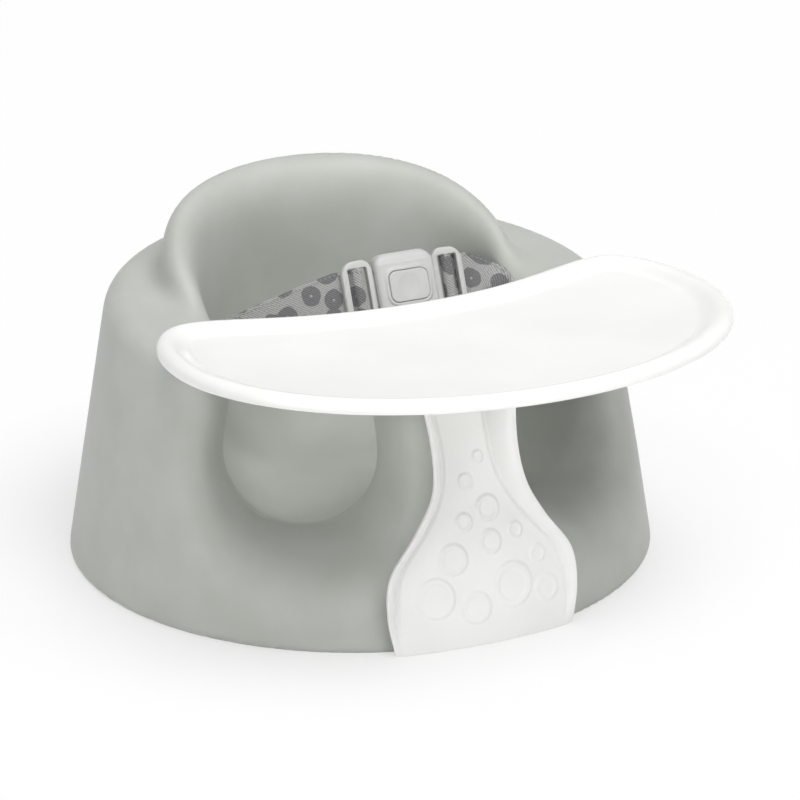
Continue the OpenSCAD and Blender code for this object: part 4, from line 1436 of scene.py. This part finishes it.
# ---------------- screws and washers
@dataclass(frozen=True)
class Screw:
    """A pan-head screw with a cross recess, drawn along +Z with its head at the top, from height 0."""

    head_d: float
    head_h: float
    shank_d: float
    length: float
    sunk: float = 1.2

    def build(self) -> Shape:
        """Makes one screw."""
        r = self.head_d / 2
        head = Shape().rod(r, (0, 0, 0), (0, 0, self.head_h), 48)
        top = [e for e in head.bm.edges if all(v.co.z > self.head_h - 0.01 for v in e.verts)]
        bevel(head.bm, top, self.head_h * 0.62, 6)
        obj = head.done("head")
        cross = Shape()
        for across in ((r * 1.05, 0.9), (0.9, r * 1.05)):
            cross.block((*across, 2 * self.sunk), (0, 0, self.head_h), 0.2, 0, 2)
        cut(obj, cross)
        shape = Shape().absorb(obj)
        return shape.rod(self.shank_d / 2, (0, 0, -self.length), (0, 0, 0.2), 24, 0.6)


@dataclass
class Fasteners:
    """The screws and washers, each set in its own place."""

    tray: Tray
    washer_r: float = 10
    washer_hole_r: float = 2.4
    washer_t: float = 1.5
    belt_screw: Screw = Screw(9.5, 2.6, 4.4, 14)
    tray_screw: Triple = (7, 2.4, 3.2)
    tray_screw_grip: float = 7

    @property
    def stack(self) -> float:
        """How far the washers' underside stands off the wall."""
        return BELT.web_off + BELT.web_t / 2 + 0.05

    @staticmethod
    def anchor(side: int, off: float) -> Matrix:
        """A place on an anchor's axis, with +Z into the well."""
        mouth, inward = FOAM.wall(side, *BELT.anchor, 0)
        turn = Vector((0, 0, 1)).rotation_difference(Vector(-inward)).to_matrix().to_4x4()
        return Matrix.Translation(mouth - inward * off) @ turn

    def washers(self) -> Piece:
        """The two washers on the belt."""
        shape = Shape()
        for side in (-1, 1):
            disc = Shape().rod(self.washer_r, (0, 0, 0), (0, 0, self.washer_t), 72, 0.3).done("disc")
            cut(disc, Shape().rod(self.washer_hole_r, (0, 0, -1), (0, 0, 3), 32))
            shape.take(Shape().absorb(disc).place(self.anchor(side, self.stack)).bm)
        return self.finish(shape, "belt_washers", "anchor_washers")

    def belt_screws(self) -> Piece:
        """The two screws that hold the belt."""
        shape = Shape()
        for side in (-1, 1):
            place = self.anchor(side, self.stack + self.washer_t + 0.05)
            shape.take(self.belt_screw.build().place(place).bm)
        return self.finish(shape, "belt_screws", "anchor_screws")

    def tray_screws(self) -> Piece:
        """The four screws that hold the tray on its stem, heads down."""
        shape = Shape()
        top = self.tray.under - self.tray.boss_h
        low = top - self.tray.head[2] - 0.05
        for x, y in self.tray.bosses():
            turn = Matrix.Translation((x, y, low)) @ Matrix.Rotation(math.pi, 4, "X")
            screw = Screw(*self.tray_screw, top + self.tray_screw_grip - low, 1.0)
            shape.take(screw.build().place(self.tray.matrix @ turn).bm)
        return self.finish(shape, "tray_fixing_screws", "tray_screws")

    @staticmethod
    def finish(shape: Shape, name: str, node: str) -> Piece:
        """Makes the piece and stands it in for its node."""
        obj = shape.done(name, 30)
        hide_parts(node)
        return obj


# ---------------- the studio
@dataclass
class Studio:
    """The camera, the pale floor and the soft light."""

    target: Triple = (0.023186, -0.011021, 0.09463)
    distance: float = 3.0
    azimuth: float = -25.42
    elevation: float = 21.53
    lens: float = 209.3
    # The share of white glow in the floor's look, near the seat and far off; the weaker share near is painted
    # shade round the seat
    glow_with_painted_shade_near: Pair = (0.5, 0.97)
    sky: float = 0.05
    floor_mm: float = 9000
    floor_reach: Pair = (0.18, 0.32)
    lamp_distance: float = 3.0
    lamp_middle: Triple = (0, -0.05, 0.1)
    lamps: tuple[tuple[str, float, float, float, float], ...] = (
        ("top", 0, 85, 2.0, 32), ("front_high", -25, 57, 1.6, 17), ("right_high", 25, 60, 1.6, 39),
        ("right_low", 20, 10, 1.6, 18), ("left_low", -70, 10, 1.6, 29), ("back", 155, 45, 1.6, 6),
    )

    @staticmethod
    def hang(
        name: str, data: bpy.types.ID, middle: Sequence[float], azimuth: float, elevation: float,
        distance: float,
    ) -> Piece:
        """Sets the camera or a lamp round a place, looking at it.

        Args:
            name: The object's name.
            data: The camera or the lamp.
            middle: The place, in metres.
            azimuth: Degrees round from straight ahead.
            elevation: Degrees up.
            distance: Metres from the place.

        Returns:
            The object.
        """
        az, el = math.radians(azimuth), math.radians(elevation)
        away = Vector((math.sin(az) * math.cos(el), -math.cos(az) * math.cos(el), math.sin(el)))
        obj = add_object(name, data)
        obj.location = Vector(middle) + away * distance
        obj.rotation_euler = (-away).to_track_quat("-Z", "Y").to_euler()
        return obj

    def camera(self) -> None:
        """Sets the camera at the photograph's angle."""
        data = bpy.data.cameras.new("view")
        data.lens, data.sensor_width, data.clip_end = self.lens, 36, 20
        view = self.hang("view", data, self.target, self.azimuth, self.elevation, self.distance)
        bpy.context.scene.camera = view

    def floor(self) -> None:
        """Lays a large pale floor."""
        shape = Shape()
        bmesh.ops.create_grid(shape.bm, x_segments=1, y_segments=1, size=self.floor_mm)
        obj = shape.done("floor")
        g = Graph(bpy.data.materials.new("pale_floor"))
        g.wire(Base_Color=srgb("#fafafa"), Roughness=0.9)
        away = g.add("ShaderNodeVectorMath", _operation="LENGTH", i0=g.place()).outputs["Value"]
        white = g.add("ShaderNodeEmission", Strength=1.0)
        # Painted light and shade: the floor glows white to the camera, but more weakly near the seat, so the
        # floor round the seat is darker and its real shadow shows through
        part = g.maths("MULTIPLY", g.seen(), g.range(away, *self.floor_reach, *self.glow_with_painted_shade_near))
        mix = g.add("ShaderNodeMixShader", i0=part, i1=g.shader.outputs[0], i2=white.outputs[0])
        out = next(n for n in g.tree.nodes if n.type == "OUTPUT_MATERIAL")
        g.feed(out.inputs["Surface"], mix.outputs[0])
        obj.data.materials.append(g.material)

    def light(self) -> None:
        """Hangs the square soft lamps, and sets a sky that is white to the camera and in reflections."""
        for name, azimuth, elevation, size, power in self.lamps:
            data = bpy.data.lights.new(name, "AREA")
            data.size, data.energy = size, power
            self.hang(name, data, self.lamp_middle, azimuth, elevation, self.lamp_distance)
        world = bpy.data.worlds.new("sky")
        bpy.context.scene.world = world
        g = Graph(world)
        g.tree.nodes.clear()
        dim, white = (
            g.add("ShaderNodeBackground", Color=srgb("#ffffff"), Strength=strength).outputs[0]
            for strength in (self.sky, 1.0)
        )
        mix = g.add("ShaderNodeMixShader", i0=g.seen(), i1=dim, i2=white)
        g.add("ShaderNodeOutputWorld", Surface=mix.outputs[0])
        bpy.context.scene.view_settings.view_transform = "Standard"


# ---------------- everything in order
def main() -> None:
    """Builds the studio and every piece, dresses them and says what rides on what."""
    logging.basicConfig(level=logging.INFO, format="%(message)s")
    studio = Studio()
    studio.camera()
    studio.floor()
    studio.light()
    finishes = Finishes()
    buckle, tray = Buckle(), Tray()
    fasteners = Fasteners(tray)
    pieces = [
        (Tub().build(), "seat", Finish.FOAM),
        (RIGHT_STRAP.build(), "seat", Finish.WEBBING),
        (buckle.front_shell(), "seat", Finish.BUCKLE),
        (buckle.back_shell(), "seat", Finish.BUCKLE),
        (buckle.strap_frame(1, "frame_right", "strap_frame_right"), "seat", Finish.BUCKLE),
        (buckle.strap_frame(-1, "frame_left", "tongue_left"), "tongue", Finish.BUCKLE),
        (buckle.button(), "button", Finish.BUTTON),
        (tray.plate(), "tray", Finish.TRAY),
        (tray.stem(), "tray", Finish.STEM),
        (fasteners.washers(), "seat", Finish.STEEL),
        (fasteners.belt_screws(), "seat", Finish.STEEL),
        (fasteners.tray_screws(), "tray", Finish.STEEL),
    ]
    for obj, body, finish in pieces:
        finishes.dress(obj, finish)
        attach(obj, body)
        log.info("%s rides on %s", obj.name, body)
    belt, spring = LEFT_STRAP.build(), buckle.spring()
    low, high = buckle.spring_z
    bends = (
        (belt, "tongue", Finish.WEBBING, BELT.at(-110, 0, 0), BELT.at(-44, 0, 0)),
        (spring, "button", Finish.STEEL, BELT.at(0, 0, low), BELT.at(0, 0, high)),
    )
    for obj, body, finish, near, far in bends:
        finishes.dress(obj, finish)
        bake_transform(obj)
        log.info("%s bends between seat and %s", obj.name, body)
    for node in ("anchor_bushes", "latch_plate"):
        finishes.dress(frame["nodes"][node], Finish.NYLON)


if __name__ == "__main__":
    main()
